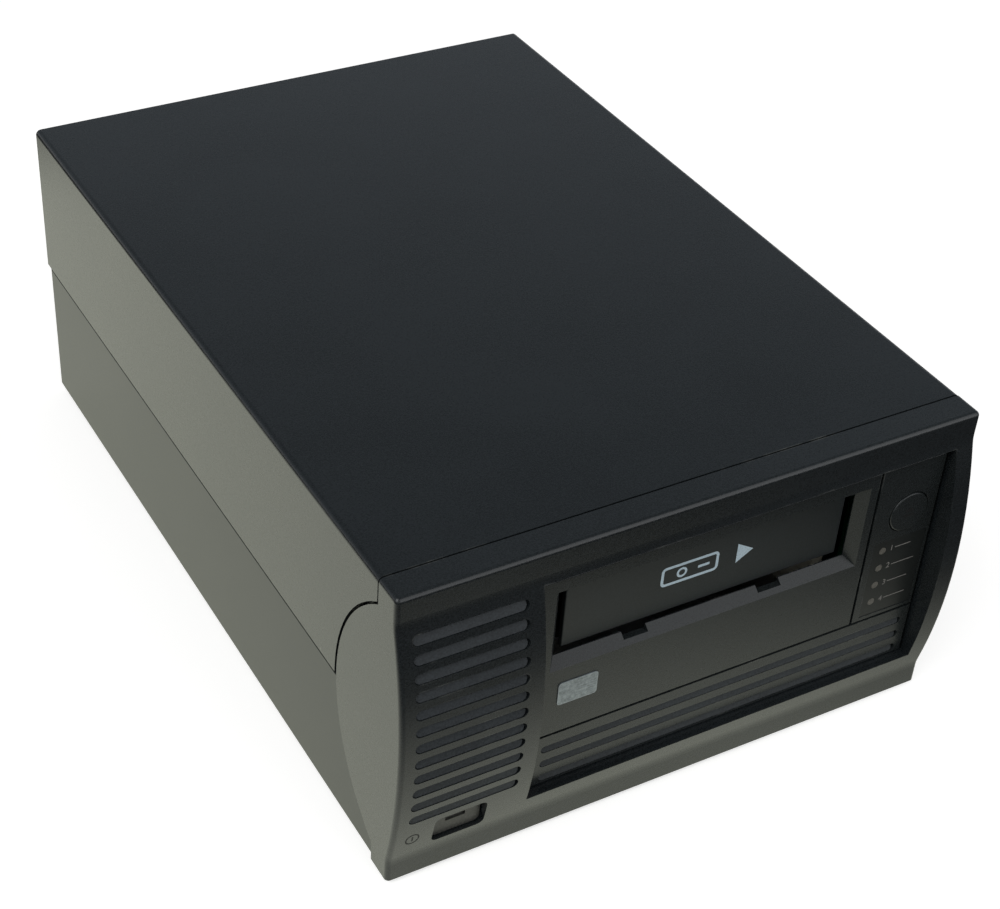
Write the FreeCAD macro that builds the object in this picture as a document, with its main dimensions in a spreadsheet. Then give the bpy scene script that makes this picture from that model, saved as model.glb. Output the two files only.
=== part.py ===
"""Data tape drive: a desktop enclosure round a 5.25-inch full-height tape drive.

Millimetres, +Z up, front of the drive facing -Y, +X to the viewer's right.  The origin is the
middle of the underside of the rubber feet.  Driving sizes are cells of the sheet "sizes"; PLACES
names what is worked out from them.  Depths count back from the brow, the flat top strip of the
front, and heights count up from the underside of the shell.
"""
import FreeCAD, Part
import os
import re
import Sketcher

SIZES = {
    # shell: top cover over a base tray, parted at the seam
    "width": 206.0,
    "shell_height": 115.0,
    "shell_depth": 291.5,
    "bulge": 5.9,
    "foot_rise": 2.0,
    "wall": 2.4,
    "edge_round": 2.0,
    "rim_round": 0.5,
    "seam_height": 57.0,
    "seam_gap": 0.9,
    "shell_gap": 0.6,
    "base_inset": 0.6,
    "base_rear_inset": 1.7,
    "tongue_rise": 4.0,
    "tongue_drop": 6.0,
    "tongue_wall": 1.3,
    "slip": 0.3,
    # pillars of the top cover, their seats in the base and the screws from below
    "pillar_x": 95.9,
    "pillar_radius": 2.6,
    "pillar_front": 46.0,
    "pillar_rear": 24.0,
    "pillar_seat": 6.0,
    "seat_radius": 3.9,
    "screw_radius": 1.5,
    "screw_head": 2.75,
    "screw_head_long": 1.8,
    "screw_grip": 8.0,
    "screw_play": 0.2,
    # rubber feet
    "foot_x": 82.0,
    "foot_inset": 34.0,
    "foot_radius": 8.0,
    "foot_socket": 0.8,
    # front bezel
    "roof_depth": 10.5,
    "cheek_depth": 36.2,
    "cheek_top": 105.6,
    "cheek_bottom": 7.6,
    "cheek_wall": 5.5,
    "cheek_lip": 3.0,
    "cheek_gap": 1.2,
    "lip_wall": 1.2,
    "brow_low": 104.6,
    "chin_top": 8.6,
    "mid_height": 56.6,
    "front_round": 1.6,
    "blend_round": 15.0,
    "frame_wall": 2.0,
    "frame_depth": 5.0,
    "tab_width": 14.0,
    "tab_reach": 9.0,
    "tab_thick": 1.6,
    "tab_spread": 62.0,
    # bay for the drive and louvres beside it
    "bay_left": -55.3,
    "bay_right": 95.6,
    "bay_low": 16.0,
    "bay_high": 103.0,
    "louvre_left": -98.1,
    "louvre_right": -60.4,
    "louvre_top": 98.9,
    "louvre_pitch": 6.42,
    "louvre_height": 3.8,
    "louvre_depth": 1.2,
    "louvre_count": 12.0,
    # power button, its lens, spring and switch
    "power_x": -79.35,
    "power_z": 17.95,
    "power_width": 18.3,
    "power_height": 11.7,
    "power_round": 2.2,
    "power_gap": 0.4,
    "power_sleeve": 1.5,
    "power_sleeve_depth": 4.0,
    "power_face": 1.6,
    "power_long": 6.4,
    "power_flange": 1.1,
    "power_flange_thick": 1.2,
    "power_travel": 2.0,
    "power_lens_width": 7.0,
    "power_lens_height": 1.6,
    "power_lens_deep": 1.0,
    "power_stem": 2.2,
    "power_stem_long": 5.5,
    "switch_side": 12.0,
    "switch_long": 16.0,
    "switch_bore_long": 8.0,
    "plunger_radius": 1.5,
    "plunger_long": 5.5,
    "bracket_thick": 1.2,
    "bracket_foot": 14.0,
    # springs of square wire
    "wire": 0.6,
    "button_spring_radius": 3.2,
    "power_spring_long": 4.4,
    "spring_turns": 3.0,
    # drive faceplate
    "face_left": -54.4,
    "face_right": 94.6,
    "face_low": 16.3,
    "face_high": 100.8,
    "face_set": 1.9,
    "face_thick": 4.0,
    "face_round": 0.5,
    "skirt_wall": 2.0,
    "skirt_depth": 8.0,
    "throat_x": 8.25,
    "throat_width": 108.3,
    "throat_low": 67.2,
    "throat_high": 93.0,
    "funnel_flare": 3.0,
    "funnel_depth": 3.6,
    "notch_width": 8.8,
    "notch_left": -17.3,
    "notch_right": 32.6,
    "notch_drop": 1.8,
    "notch_depth": 2.4,
    "split_x": 69.0,
    "split_low": 37.2,
    "split_width": 1.0,
    "split_depth": 1.2,
    "vent_left": -49.2,
    "vent_right": 91.4,
    "vent_top": 31.2,
    "vent_pitch": 6.15,
    "vent_height": 2.9,
    "vent_depth": 1.4,
    "vent_count": 3.0,
    "badge_left": -45.3,
    "badge_right": -31.1,
    "badge_low": 49.2,
    "badge_high": 58.3,
    "badge_round": 1.1,
    "badge_sunk": 0.3,
    "badge_thick": 0.6,
    "label_left": 72.2,
    "label_right": 93.3,
    "label_low": 38.9,
    "label_high": 70.4,
    "label_sunk": 0.5,
    "label_thick": 0.3,
    "lamp_x": 76.3,
    "lamp_top": 66.3,
    "lamp_pitch": 7.25,
    "lamp_radius": 1.4,
    "lamp_count": 4.0,
    # eject button
    "eject_x": 83.4,
    "eject_z": 80.5,
    "eject_radius": 7.4,
    "eject_gap": 0.35,
    "eject_proud": 0.5,
    "eject_long": 5.2,
    "eject_flange": 1.0,
    "eject_flange_thick": 1.0,
    "eject_travel": 0.8,
    "eject_stem": 1.6,
    "eject_stem_long": 2.8,
    "panel_board_set": 15.0,
    "board_thick": 1.6,
    "tact_side": 6.0,
    "tact_thick": 3.4,
    "board_post": 2.5,
    # cartridge door on its pin
    "door_gap": 3.0,
    "door_low": 68.9,
    "door_thick": 1.8,
    "door_set": 0.25,
    "door_top": 94.2,
    "pin_radius": 1.0,
    "pin_play": 0.06,
    "pin_set": 3.2,
    "pin_height": 95.0,
    "knuckle_radius": 2.2,
    "lug_width": 2.0,
    "lug_gap": 0.6,
    "door_spring_long": 2.4,
    "door_spring_leg": 9.0,
    # drive chassis of folded sheet
    "chassis_width": 146.0,
    "chassis_low": 17.5,
    "chassis_high": 100.0,
    "chassis_depth": 201.0,
    "sheet": 1.2,
    "lid_flange": 8.0,
    "connector_long": 50.0,
    "connector_tall": 9.0,
    "connector_deep": 8.0,
    # boards and mechanism deck
    "board_rise": 6.0,
    "board_margin": 5.0,
    "standoff_radius": 2.5,
    "chip_side": 20.0,
    "chip_thick": 2.0,
    "deck_low": 38.0,
    "deck_thick": 2.0,
    "deck_margin": 8.0,
    # cartridge tray, rails, rack and pinion
    "cartridge_width": 105.4,
    "cartridge_play": 0.5,
    "tray_low": 66.0,
    "tray_high": 91.0,
    "tray_front": 12.0,
    "tray_long": 92.0,
    "tray_travel": 10.0,
    "tray_flange": 5.0,
    "tray_open": 30.0,
    "rail_width": 4.0,
    "module": 1.0,
    "pinion_teeth": 12.0,
    "rack_teeth": 8.0,
    "gear_width": 4.0,
    "gear_play": 0.2,
    "gear_addendum": 0.9,
    "gear_dedendum": 1.2,
    "gear_overlap": 0.3,
    "gear_angle": 20.0,
    "pinion_x": -38.0,
    "pinion_set": 50.0,
    "pinion_shaft": 1.5,
    "loader_radius": 8.0,
    "loader_long": 20.0,
    # reels, rollers and head
    "hub_set": 63.0,
    "motor_radius": 22.0,
    "motor_tall": 15.0,
    "shaft_radius": 2.5,
    "chuck_radius": 13.0,
    "chuck_tall": 6.0,
    "chuck_teeth": 10.0,
    "chuck_tooth_in": 8.0,
    "chuck_tooth_out": 12.4,
    "chuck_tooth_high": 1.5,
    "reel_x": 6.0,
    "reel_set": 163.0,
    "reel_radius": 42.0,
    "reel_hub": 20.0,
    "reel_low": 62.0,
    "reel_tall": 17.0,
    "reel_flange": 1.5,
    "roller_radius": 5.5,
    "roller_tall": 14.0,
    "roller_low": 66.0,
    "post_radius": 1.5,
    "post_shoulder": 3.0,
    "post_cap": 2.4,
    "post_cap_thick": 1.2,
    "near_roller_out": 4.0,
    "near_roller_side": 17.0,
    "far_roller_out": 18.0,
    "far_roller_side": 22.5,
    "run_play": 0.06,
    "head_x": 80.0,
    "head_set": 143.0,
    "head_half": 6.0,
    "head_long": 20.0,
    "head_low": 68.0,
    "head_tall": 14.0,
    "head_stroke": 2.0,
    "head_rod": 1.2,
    "head_rod_half": 7.0,
    "magnet_thick": 4.0,
    # rails that carry the drive in the base
    "carrier_thick": 1.5,
    "carrier_foot": 12.0,
    "carrier_front": 60.0,
    "carrier_long": 130.0,
    # power supply
    "supply_left": -98.0,
    "supply_width": 40.0,
    "supply_front": 62.0,
    "supply_long": 160.0,
    "supply_tall": 92.0,
    "core_side": 30.0,
    "core_tall": 34.0,
    "capacitor_radius": 8.0,
    "capacitor_long": 26.0,
    "fin_count": 6.0,
    "fin_thick": 1.6,
    "fin_reach": 14.0,
    # rear panel and what it carries
    "rear_set": 9.0,
    "panel_thick": 1.2,
    "panel_flange": 8.0,
    "fan_x": -52.0,
    "fan_z": 76.0,
    "fan_side": 60.0,
    "fan_deep": 25.0,
    "fan_bore": 28.6,
    "fan_hole_half": 25.0,
    "fan_hub": 12.5,
    "blade_sink": 1.2,
    "fan_tip_gap": 0.6,
    "fan_blades": 7.0,
    "blade_thick": 1.6,
    "blade_root_half": 8.0,
    "blade_tip_half": 6.0,
    "blade_root_pitch": 5.0,
    "blade_tip_pitch": 8.5,
    "strut_width": 3.0,
    "strut_deep": 3.5,
    "guard_wire": 0.8,
    "guard_thick": 1.6,
    "guard_pitch": 7.0,
    "guard_rings": 4.0,
    "inlet_x": -66.0,
    "inlet_z": 24.0,
    "inlet_width": 27.0,
    "inlet_height": 20.0,
    "inlet_cavity_width": 24.0,
    "inlet_cavity_height": 16.0,
    "inlet_cavity_deep": 16.0,
    "inlet_flange_width": 50.0,
    "inlet_flange_height": 24.0,
    "inlet_flange_thick": 2.5,
    "inlet_deep": 20.0,
    "inlet_screw_half": 20.0,
    "inlet_pin_width": 4.0,
    "inlet_pin_thick": 2.0,
    "inlet_pin_long": 12.0,
    "inlet_pin_half": 7.0,
    "inlet_ground_rise": 4.0,
    "port_x": 46.0,
    "port_low_z": 34.0,
    "port_pitch": 24.0,
    "port_width": 45.0,
    "port_height": 8.2,
    "port_deep": 6.0,
    "port_shell": 0.8,
    "port_flange_width": 64.0,
    "port_flange_height": 14.0,
    "port_flange_thick": 1.6,
    "port_body_deep": 10.0,
    "port_jack_half": 28.0,
    "jack_radius": 2.4,
    "jack_long": 5.0,
    "jack_bore": 1.3,
    "selector_x": -6.0,
    "selector_z": 46.0,
    "selector_width": 9.0,
    "selector_height": 24.0,
    "selector_deep": 12.0,
    "selector_key_side": 5.0,
    "selector_key_half": 8.4,
    "selector_travel": 0.8,
    "selector_window": 7.0,
    # wiring
    "ribbon_width": 48.0,
    "ribbon_thick": 0.9,
    "loom_radius": 2.5,
}

PLACES = {
    "half": "width / 2",
    "base": "foot_rise",
    "top": "base + shell_height",
    "brow": "-(shell_depth - bulge) / 2",
    "front": "brow - bulge",
    "rear": "brow + shell_depth",
    "roof_edge": "brow + roof_depth",
    "cover_front": "roof_edge + shell_gap",
    "seam": "base + seam_height",
    "seam_low": "seam - seam_gap",
    "base_half": "half - base_inset",
    "base_inner": "base_half - wall",
    "floor": "base + wall",
    "ceiling": "top - wall",
    "tongue_out": "half - wall - slip",
    "tongue_in": "tongue_out - tongue_wall",
    "lip_out": "tongue_in - slip",
    "base_rear": "rear - base_rear_inset",
    "pillar_foot": "floor + pillar_seat",
    "pillar_y1": "brow + pillar_front",
    "pillar_y2": "rear - pillar_rear - rear_set",
    "cavity_half": "half - cheek_wall",
    "frame_back": "brow + frame_depth",
    "face": "brow + face_set",
    "face_back": "face + face_thick",
    "skirt_back": "face + skirt_depth",
    "face_mid": "(face_left + face_right) / 2",
    "power_z0": "base + power_z",
    "power_front": "brow + power_face",
    "power_rear": "power_front + power_long",
    "stem_end": "power_rear + power_stem_long",
    "switch_front": "stem_end + power_travel + slip",
    "switch_back": "switch_front + switch_long",
    "eject_z0": "base + eject_z",
    "eject_front": "face - eject_proud",
    "eject_rear": "eject_front + eject_long",
    "board_front": "brow + panel_board_set",
    "tact_front": "board_front - tact_thick",
    "throat_left": "throat_x - throat_width / 2",
    "throat_right": "throat_x + throat_width / 2",
    "door_left": "throat_left + door_gap",
    "door_right": "throat_right - door_gap",
    "door_front": "face_back + door_set",
    "pin_y": "face_back + pin_set",
    "pin_z": "base + pin_height",
    "chassis_left": "face_mid - chassis_width / 2",
    "chassis_right": "face_mid + chassis_width / 2",
    "chassis_front": "skirt_back",
    "chassis_back": "chassis_front + chassis_depth",
    "chassis_floor": "base + chassis_low + sheet",
    "chassis_rim": "base + chassis_high - sheet",
    "inner_left": "chassis_left + sheet",
    "inner_right": "chassis_right - sheet",
    "board_low": "chassis_floor + board_rise",
    "board_high": "board_low + board_thick",
    "board_y1": "chassis_front + board_margin",
    "board_y2": "chassis_back - sheet - board_margin - connector_deep",
    "deck_bottom": "base + deck_low",
    "deck_top": "deck_bottom + deck_thick",
    "deck_y1": "chassis_front + deck_margin",
    "deck_y2": "chassis_back - sheet - deck_margin",
    "tray_inner": "cartridge_width / 2 + cartridge_play",
    "tray_outer": "tray_inner + sheet",
    "tray_y1": "brow + tray_front",
    "tray_y2": "tray_y1 + tray_long",
    "tray_bottom": "base + tray_low",
    "tray_floor": "tray_bottom + sheet",
    "tray_top": "base + tray_high",
    "pitch_radius": "module * pinion_teeth / 2",
    "rack_low": "tray_bottom - gear_width",
    "pinion_z": "rack_low + module - pitch_radius",
    "pinion_y": "brow + pinion_set",
    "hub_y": "brow + hub_set",
    "reel_y": "brow + reel_set",
    "motor_top": "deck_top + motor_tall",
    "reel_z": "base + reel_low",
    "roller_z": "base + roller_low",
    "head_y": "brow + head_set",
    "head_z": "base + head_low",
    "panel_back": "rear - rear_set",
    "panel_front": "panel_back - panel_thick",
    "fan_z0": "base + fan_z",
    "fan_back": "panel_front",
    "fan_front": "fan_back - fan_deep",
    "fan_tip": "sqrt((fan_bore - fan_tip_gap) ^ 2 - (blade_tip_pitch + blade_thick / 2) ^ 2)",
    "inlet_z0": "base + inlet_z",
    "selector_z0": "base + selector_z",
}

doc = FreeCAD.newDocument("data_tape_drive")
sheet = doc.addObject("Spreadsheet::Sheet", "sizes")
nodes = []
shared = {}


def fill_sheet():
    for row, (alias, number) in enumerate(SIZES.items(), start=1):
        sheet.set("A%d" % row, alias)
        sheet.set("B%d" % row, str(number))
        sheet.setAlias("B%d" % row, alias)
    doc.recompute()


def expand(text):
    """Put each named place's own formula, and each size's cell, in the place of its name."""
    def swap(match):
        word = match.group(0)
        if word in PLACES:
            return "(" + expand(PLACES[word]) + ")"
        return "sizes." + word if word in SIZES else word
    return re.sub(r"[A-Za-z_][A-Za-z_0-9]*", swap, str(text))


def value(text):
    return float(sheet.evalExpression(expand(text)))


def bind(item, target, text):
    item.setExpression(target, expand(text))


def keep(label, item):
    """Name a finished sub-part; its label is its file's name."""
    item.Label = label
    nodes.append(item)
    return item


def share(label, item):
    """Put a small piece into a node that it shares with its like."""
    shared.setdefault(label, []).append(item)


# ---------------------------------------------------------------- primitives and booleans

def bind_place(item, spot):
    for letter, text in zip("xyz", spot):
        bind(item, "Placement.Base." + letter, text)


def box(name, low, high):
    item = doc.addObject("Part::Box", name)
    for side, start, end in zip(("Length", "Width", "Height"), low, high):
        bind(item, side, "(%s) - (%s)" % (end, start))
    bind_place(item, low)
    return item


TURNS = {
    "X": FreeCAD.Rotation(FreeCAD.Vector(0, 1, 0), 90),
    "Y": FreeCAD.Rotation(FreeCAD.Vector(1, 0, 0), -90),
    "Z": FreeCAD.Rotation(),
}


def rod(name, axis, start, radius, reach):
    """A cylinder that starts at a point and runs along +X, +Y or +Z."""
    item = doc.addObject("Part::Cylinder", name)
    item.Placement = FreeCAD.Placement(FreeCAD.Vector(), TURNS[axis])
    bind(item, "Radius", radius)
    bind(item, "Height", reach)
    bind_place(item, start)
    return item


def fuse(name, items):
    item = doc.addObject("Part::MultiFuse", name)
    item.Shapes = items
    item.Refine = True
    return item


def group(name, items):
    item = doc.addObject("Part::Compound", name)
    item.Links = items
    return item


def cut(name, whole, tools):
    tool = tools[0] if len(tools) == 1 else fuse(name + "_tools", tools)
    item = doc.addObject("Part::Cut", name)
    item.Base = whole
    item.Tool = tool
    return item


# ---------------------------------------------------------------- sketches and bodies

def rect(left, low, right, high):
    return [(left, low), (right, low), (right, high), (left, high)]


def rounded_rect(left, low, right, high, radius):
    """Corner points in order; a point with a second pair is reached by an arc through that pair."""
    mid = "(%s) * (1 - sqrt(0.5))" % radius
    inset = {"left": "%s + %s" % (left, radius), "right": "%s - %s" % (right, radius)}
    low_in = "%s + %s" % (low, radius)
    high_in = "%s - %s" % (high, radius)
    return [
        (inset["left"], low, "%s + %s" % (left, mid), "%s + %s" % (low, mid)),
        (inset["right"], low),
        (right, low_in, "%s - %s" % (right, mid), "%s + %s" % (low, mid)),
        (right, high_in),
        (inset["right"], high, "%s - %s" % (right, mid), "%s - %s" % (high, mid)),
        (inset["left"], high),
        (left, high_in, "%s + %s" % (left, mid), "%s - %s" % (high, mid)),
        (left, low_in),
    ]


def stadium(left, right, height, radius):
    """A round-ended slot lying along the first axis."""
    return [
        ("%s + %s" % (left, radius), "%s - %s" % (height, radius), left, height),
        ("%s - %s" % (right, radius), "%s - %s" % (height, radius)),
        ("%s - %s" % (right, radius), "%s + %s" % (height, radius), right, height),
        ("%s + %s" % (left, radius), "%s + %s" % (height, radius)),
    ]


def new_body(name):
    return doc.addObject("PartDesign::Body", name)


def fix_point(sketch, shape, place, spot):
    """Dimension one point of a sketch from its origin along both axes."""
    for kind, text in zip(("DistanceX", "DistanceY"), spot):
        index = sketch.addConstraint(Sketcher.Constraint(kind, -1, 1, shape, place, value(text)))
        bind(sketch, "Constraints[%d]" % index, text)


def flat(spot):
    return FreeCAD.Vector(value(spot[0]), value(spot[1]), 0)


def draw_outline(sketch, corners):
    edges = []
    for index, corner in enumerate(corners):
        start = flat(corners[index - 1])
        end = flat(corner)
        if len(corner) == 2:
            edge = sketch.addGeometry(Part.LineSegment(start, end), False)
        else:
            edge = sketch.addGeometry(Part.Arc(start, flat(corner[2:]), end), False)
        first = 1 if (sketch.getPoint(edge, 1) - start).Length < 1e-6 else 2
        edges.append((edge, first, 3 - first))
    for index, corner in enumerate(corners):
        edge, _, last = edges[index]
        following, first, _ = edges[(index + 1) % len(edges)]
        sketch.addConstraint(Sketcher.Constraint("Coincident", edge, last, following, first))
        fix_point(sketch, edge, last, corner[:2])
        if len(corner) == 4:
            waypoint = sketch.addGeometry(Part.Point(flat(corner[2:])), True)
            fix_point(sketch, waypoint, 1, corner[2:])
            sketch.addConstraint(Sketcher.Constraint("PointOnObject", waypoint, 1, edge))


def draw_circle(sketch, circle):
    across, up, radius = circle
    shape = Part.Circle(flat((across, up)), FreeCAD.Vector(0, 0, 1), value(radius))
    edge = sketch.addGeometry(shape, False)
    fix_point(sketch, edge, 3, (across, up))
    index = sketch.addConstraint(Sketcher.Constraint("Radius", edge, value(radius)))
    bind(sketch, "Constraints[%d]" % index, radius)


def new_sketch(body, plane, offset, outlines=(), circles=()):
    sketch = body.newObject("Sketcher::SketchObject", body.Name + "_sketch")
    support = [item for item in body.Origin.OriginFeatures if item.Role == plane + "_Plane"]
    sketch.AttachmentSupport = (support[0], [""])
    sketch.MapMode = "FlatFace"
    bind(sketch, ".AttachmentOffset.Base.z", offset)
    for outline in outlines:
        draw_outline(sketch, outline)
    for circle in circles:
        draw_circle(sketch, circle)
    return sketch


def pad(body, plane, low, high, outlines=(), circles=()):
    """Add a prism between two places along the plane's axis (XZ sketches face -Y)."""
    offset = "-(%s)" % high if plane == "XZ" else low
    feature = body.newObject("PartDesign::Pad", body.Name + "_pad")
    feature.Profile = new_sketch(body, plane, offset, outlines, circles)
    bind(feature, "Length", "(%s) - (%s)" % (high, low))
    return feature


def pocket(body, plane, low, high, outlines=(), circles=()):
    """Cut a prism between two places along the plane's axis; a pocket runs against its normal."""
    offset = "-(%s)" % low if plane == "XZ" else high
    feature = body.newObject("PartDesign::Pocket", body.Name + "_pocket")
    feature.Profile = new_sketch(body, plane, offset, outlines, circles)
    bind(feature, "Length", "(%s) - (%s)" % (high, low))
    return feature


def loft(body, kind, plane, stations):
    """Loft through outlines at places along the plane's axis."""
    sketches = []
    for place, outline in stations:
        offset = "-(%s)" % place if plane == "XZ" else place
        sketches.append(new_sketch(body, plane, offset, [outline]))
    feature = body.newObject(kind, body.Name + "_loft")
    feature.Profile = sketches[0]
    feature.Sections = sketches[1:]
    feature.Ruled = True
    return feature


def round_edges(body, base, radius, wanted):
    """Fillet the edges of a feature that a test picks out."""
    doc.recompute()
    picked = [
        "Edge%d" % number
        for number, edge in enumerate(base.Shape.Edges, start=1)
        if wanted(edge.BoundBox)
    ]
    feature = body.newObject("PartDesign::Fillet", body.Name + "_round")
    feature.Base = (base, picked)
    bind(feature, "Radius", radius)
    return feature


def row(body, feature, axis, pitch, count, backwards=False):
    pattern = body.newObject("PartDesign::LinearPattern", body.Name + "_row")
    pattern.Originals = [feature]
    pattern.Direction = (feature.Profile[0], [axis])
    pattern.Reversed = backwards
    bind(pattern, "Length", "(%s - 1) * %s" % (count, pitch))
    bind(pattern, "Occurrences", count)
    body.Tip = pattern
    return pattern


def near(first, second):
    return abs(first - second) < 0.01


# ---------------------------------------------------------------- enclosure

def side_outline(setback, reach):
    """Side view of the bezel: bulging front, roof strip, and cheeks that end in an arc."""
    return [
        ("roof_edge", "top"),
        ("brow + %s" % setback, "top"),
        ("brow + %s" % setback, "base + brow_low"),
        ("brow + %s" % setback, "base + chin_top", "front + %s" % setback, "base + mid_height"),
        ("brow + %s" % setback, "base"),
        ("roof_edge", "base"),
        ("roof_edge", "base + cheek_bottom"),
        ("roof_edge", "base + cheek_top", "brow + cheek_depth + %s" % reach, "base + mid_height"),
    ]


def make_room_for_cheeks(body):
    """Cut the front of a cover back to the cheeks' arcs, with a gap that widens towards mid-height."""
    ahead = "front - wall"
    outline = [
        (ahead, "base - wall"),
        ("cover_front", "base - wall"),
        ("cover_front", "base + cheek_bottom - shell_gap"),
        ("cover_front", "base + cheek_top + shell_gap",
         "brow + cheek_depth + cheek_gap", "base + mid_height"),
        ("cover_front", "top + wall"),
        (ahead, "top + wall"),
    ]
    return pocket(body, "YZ", "-width", "width", [outline])


def pillar_spots():
    return [
        (side + "pillar_x", depth)
        for side in ("-", "")
        for depth in ("pillar_y1", "pillar_y2")
    ]


def foot_spots():
    return [
        (side + "foot_x", depth)
        for side in ("-", "")
        for depth in ("brow + foot_inset", "rear - foot_inset")
    ]


def make_top_cover():
    body = new_body("top_cover_body")
    outline = [
        ("-half", "seam"),
        ("-half", "top"),
        ("half", "top"),
        ("half", "seam"),
        ("half - wall", "seam"),
        ("half - wall", "ceiling"),
        ("wall - half", "ceiling"),
        ("wall - half", "seam"),
    ]
    shell = pad(body, "XZ", "cover_front", "rear", [outline])
    round_edges(body, shell, "edge_round", lambda box: near(box.ZMin, value("top")) and box.YLength > 1)
    make_room_for_cheeks(body)
    posts = [(across, depth, "pillar_radius") for across, depth in pillar_spots()]
    pad(body, "XY", "pillar_foot", "ceiling + wall / 2", circles=posts)
    bores = [(across, depth, "screw_radius") for across, depth in pillar_spots()]
    body.Tip = pocket(body, "XY", "pillar_foot", "pillar_foot + screw_grip", circles=bores)
    return keep("top_cover", body)


def make_base_tray():
    body = new_body("base_tray_body")
    right = [
        ("base_half", "base"),
        ("base_half", "seam_low"),
        ("tongue_out", "seam_low"),
        ("tongue_out", "seam + tongue_rise"),
        ("tongue_in", "seam + tongue_rise"),
        ("tongue_in", "seam_low - tongue_drop"),
        ("base_inner", "seam_low - tongue_drop - tongue_wall"),
        ("base_inner", "floor"),
    ]
    left = [("-(%s)" % across, up) for across, up in reversed(right)]
    tub = pad(body, "XZ", "cover_front", "base_rear", [right + left])
    round_edges(body, tub, "edge_round", lambda box: near(box.ZMax, value("base")) and box.YLength > 1)
    make_room_for_cheeks(body)
    seats = [(across, depth, "seat_radius") for across, depth in pillar_spots()]
    pad(body, "XY", "base + wall / 2", "pillar_foot", circles=seats)
    shafts = [(across, depth, "screw_radius + screw_play") for across, depth in pillar_spots()]
    pocket(body, "XY", "base - wall", "pillar_foot + wall", circles=shafts)
    heads = [(across, depth, "screw_head + screw_play") for across, depth in pillar_spots()]
    pocket(body, "XY", "base - wall", "floor", circles=heads)
    sockets = [(across, depth, "foot_radius + screw_play / 2") for across, depth in foot_spots()]
    body.Tip = pocket(body, "XY", "base - wall", "base + foot_socket", circles=sockets)
    return keep("base_tray", body)


def make_cover_screws():
    screws = []
    for index, (across, depth) in enumerate(pillar_spots()):
        name = "cover_screw_%d" % index
        head = rod(name + "_head", "Z", (across, depth, "floor - screw_head_long"),
                   "screw_head", "screw_head_long")
        shank = rod(name + "_shank", "Z", (across, depth, "floor"),
                    "screw_radius", "pillar_seat + screw_grip - screw_play")
        screws.append(fuse(name, [head, shank]))
    share("screws", group("cover_screw_group", screws))


def make_feet():
    feet = []
    for index, (across, depth) in enumerate(foot_spots()):
        body = new_body("foot_%d" % index)
        pad(body, "XY", "0", "base + foot_socket", circles=[(across, depth, "foot_radius")])
        feet.append(body)
    return keep("rubber_feet", group("foot_group", feet))


def frame_block(name, margin, back):
    """Solid ring zone left standing behind the skin round the drive bay."""
    low = ("bay_left - %s" % margin, "front - wall", "base + bay_low - %s" % margin)
    high = ("bay_right + %s" % margin, back, "base + bay_high + %s" % margin)
    return box(name, low, high)


def power_hole(name, margin, near_y, far_y):
    body = new_body(name)
    outline = rounded_rect(
        "power_x - power_width / 2 - %s" % margin,
        "power_z0 - power_height / 2 - %s" % margin,
        "power_x + power_width / 2 + %s" % margin,
        "power_z0 + power_height / 2 + %s" % margin,
        "(power_round + %s)" % margin,
    )
    pad(body, "XZ", near_y, far_y, [outline])
    return body


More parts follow.
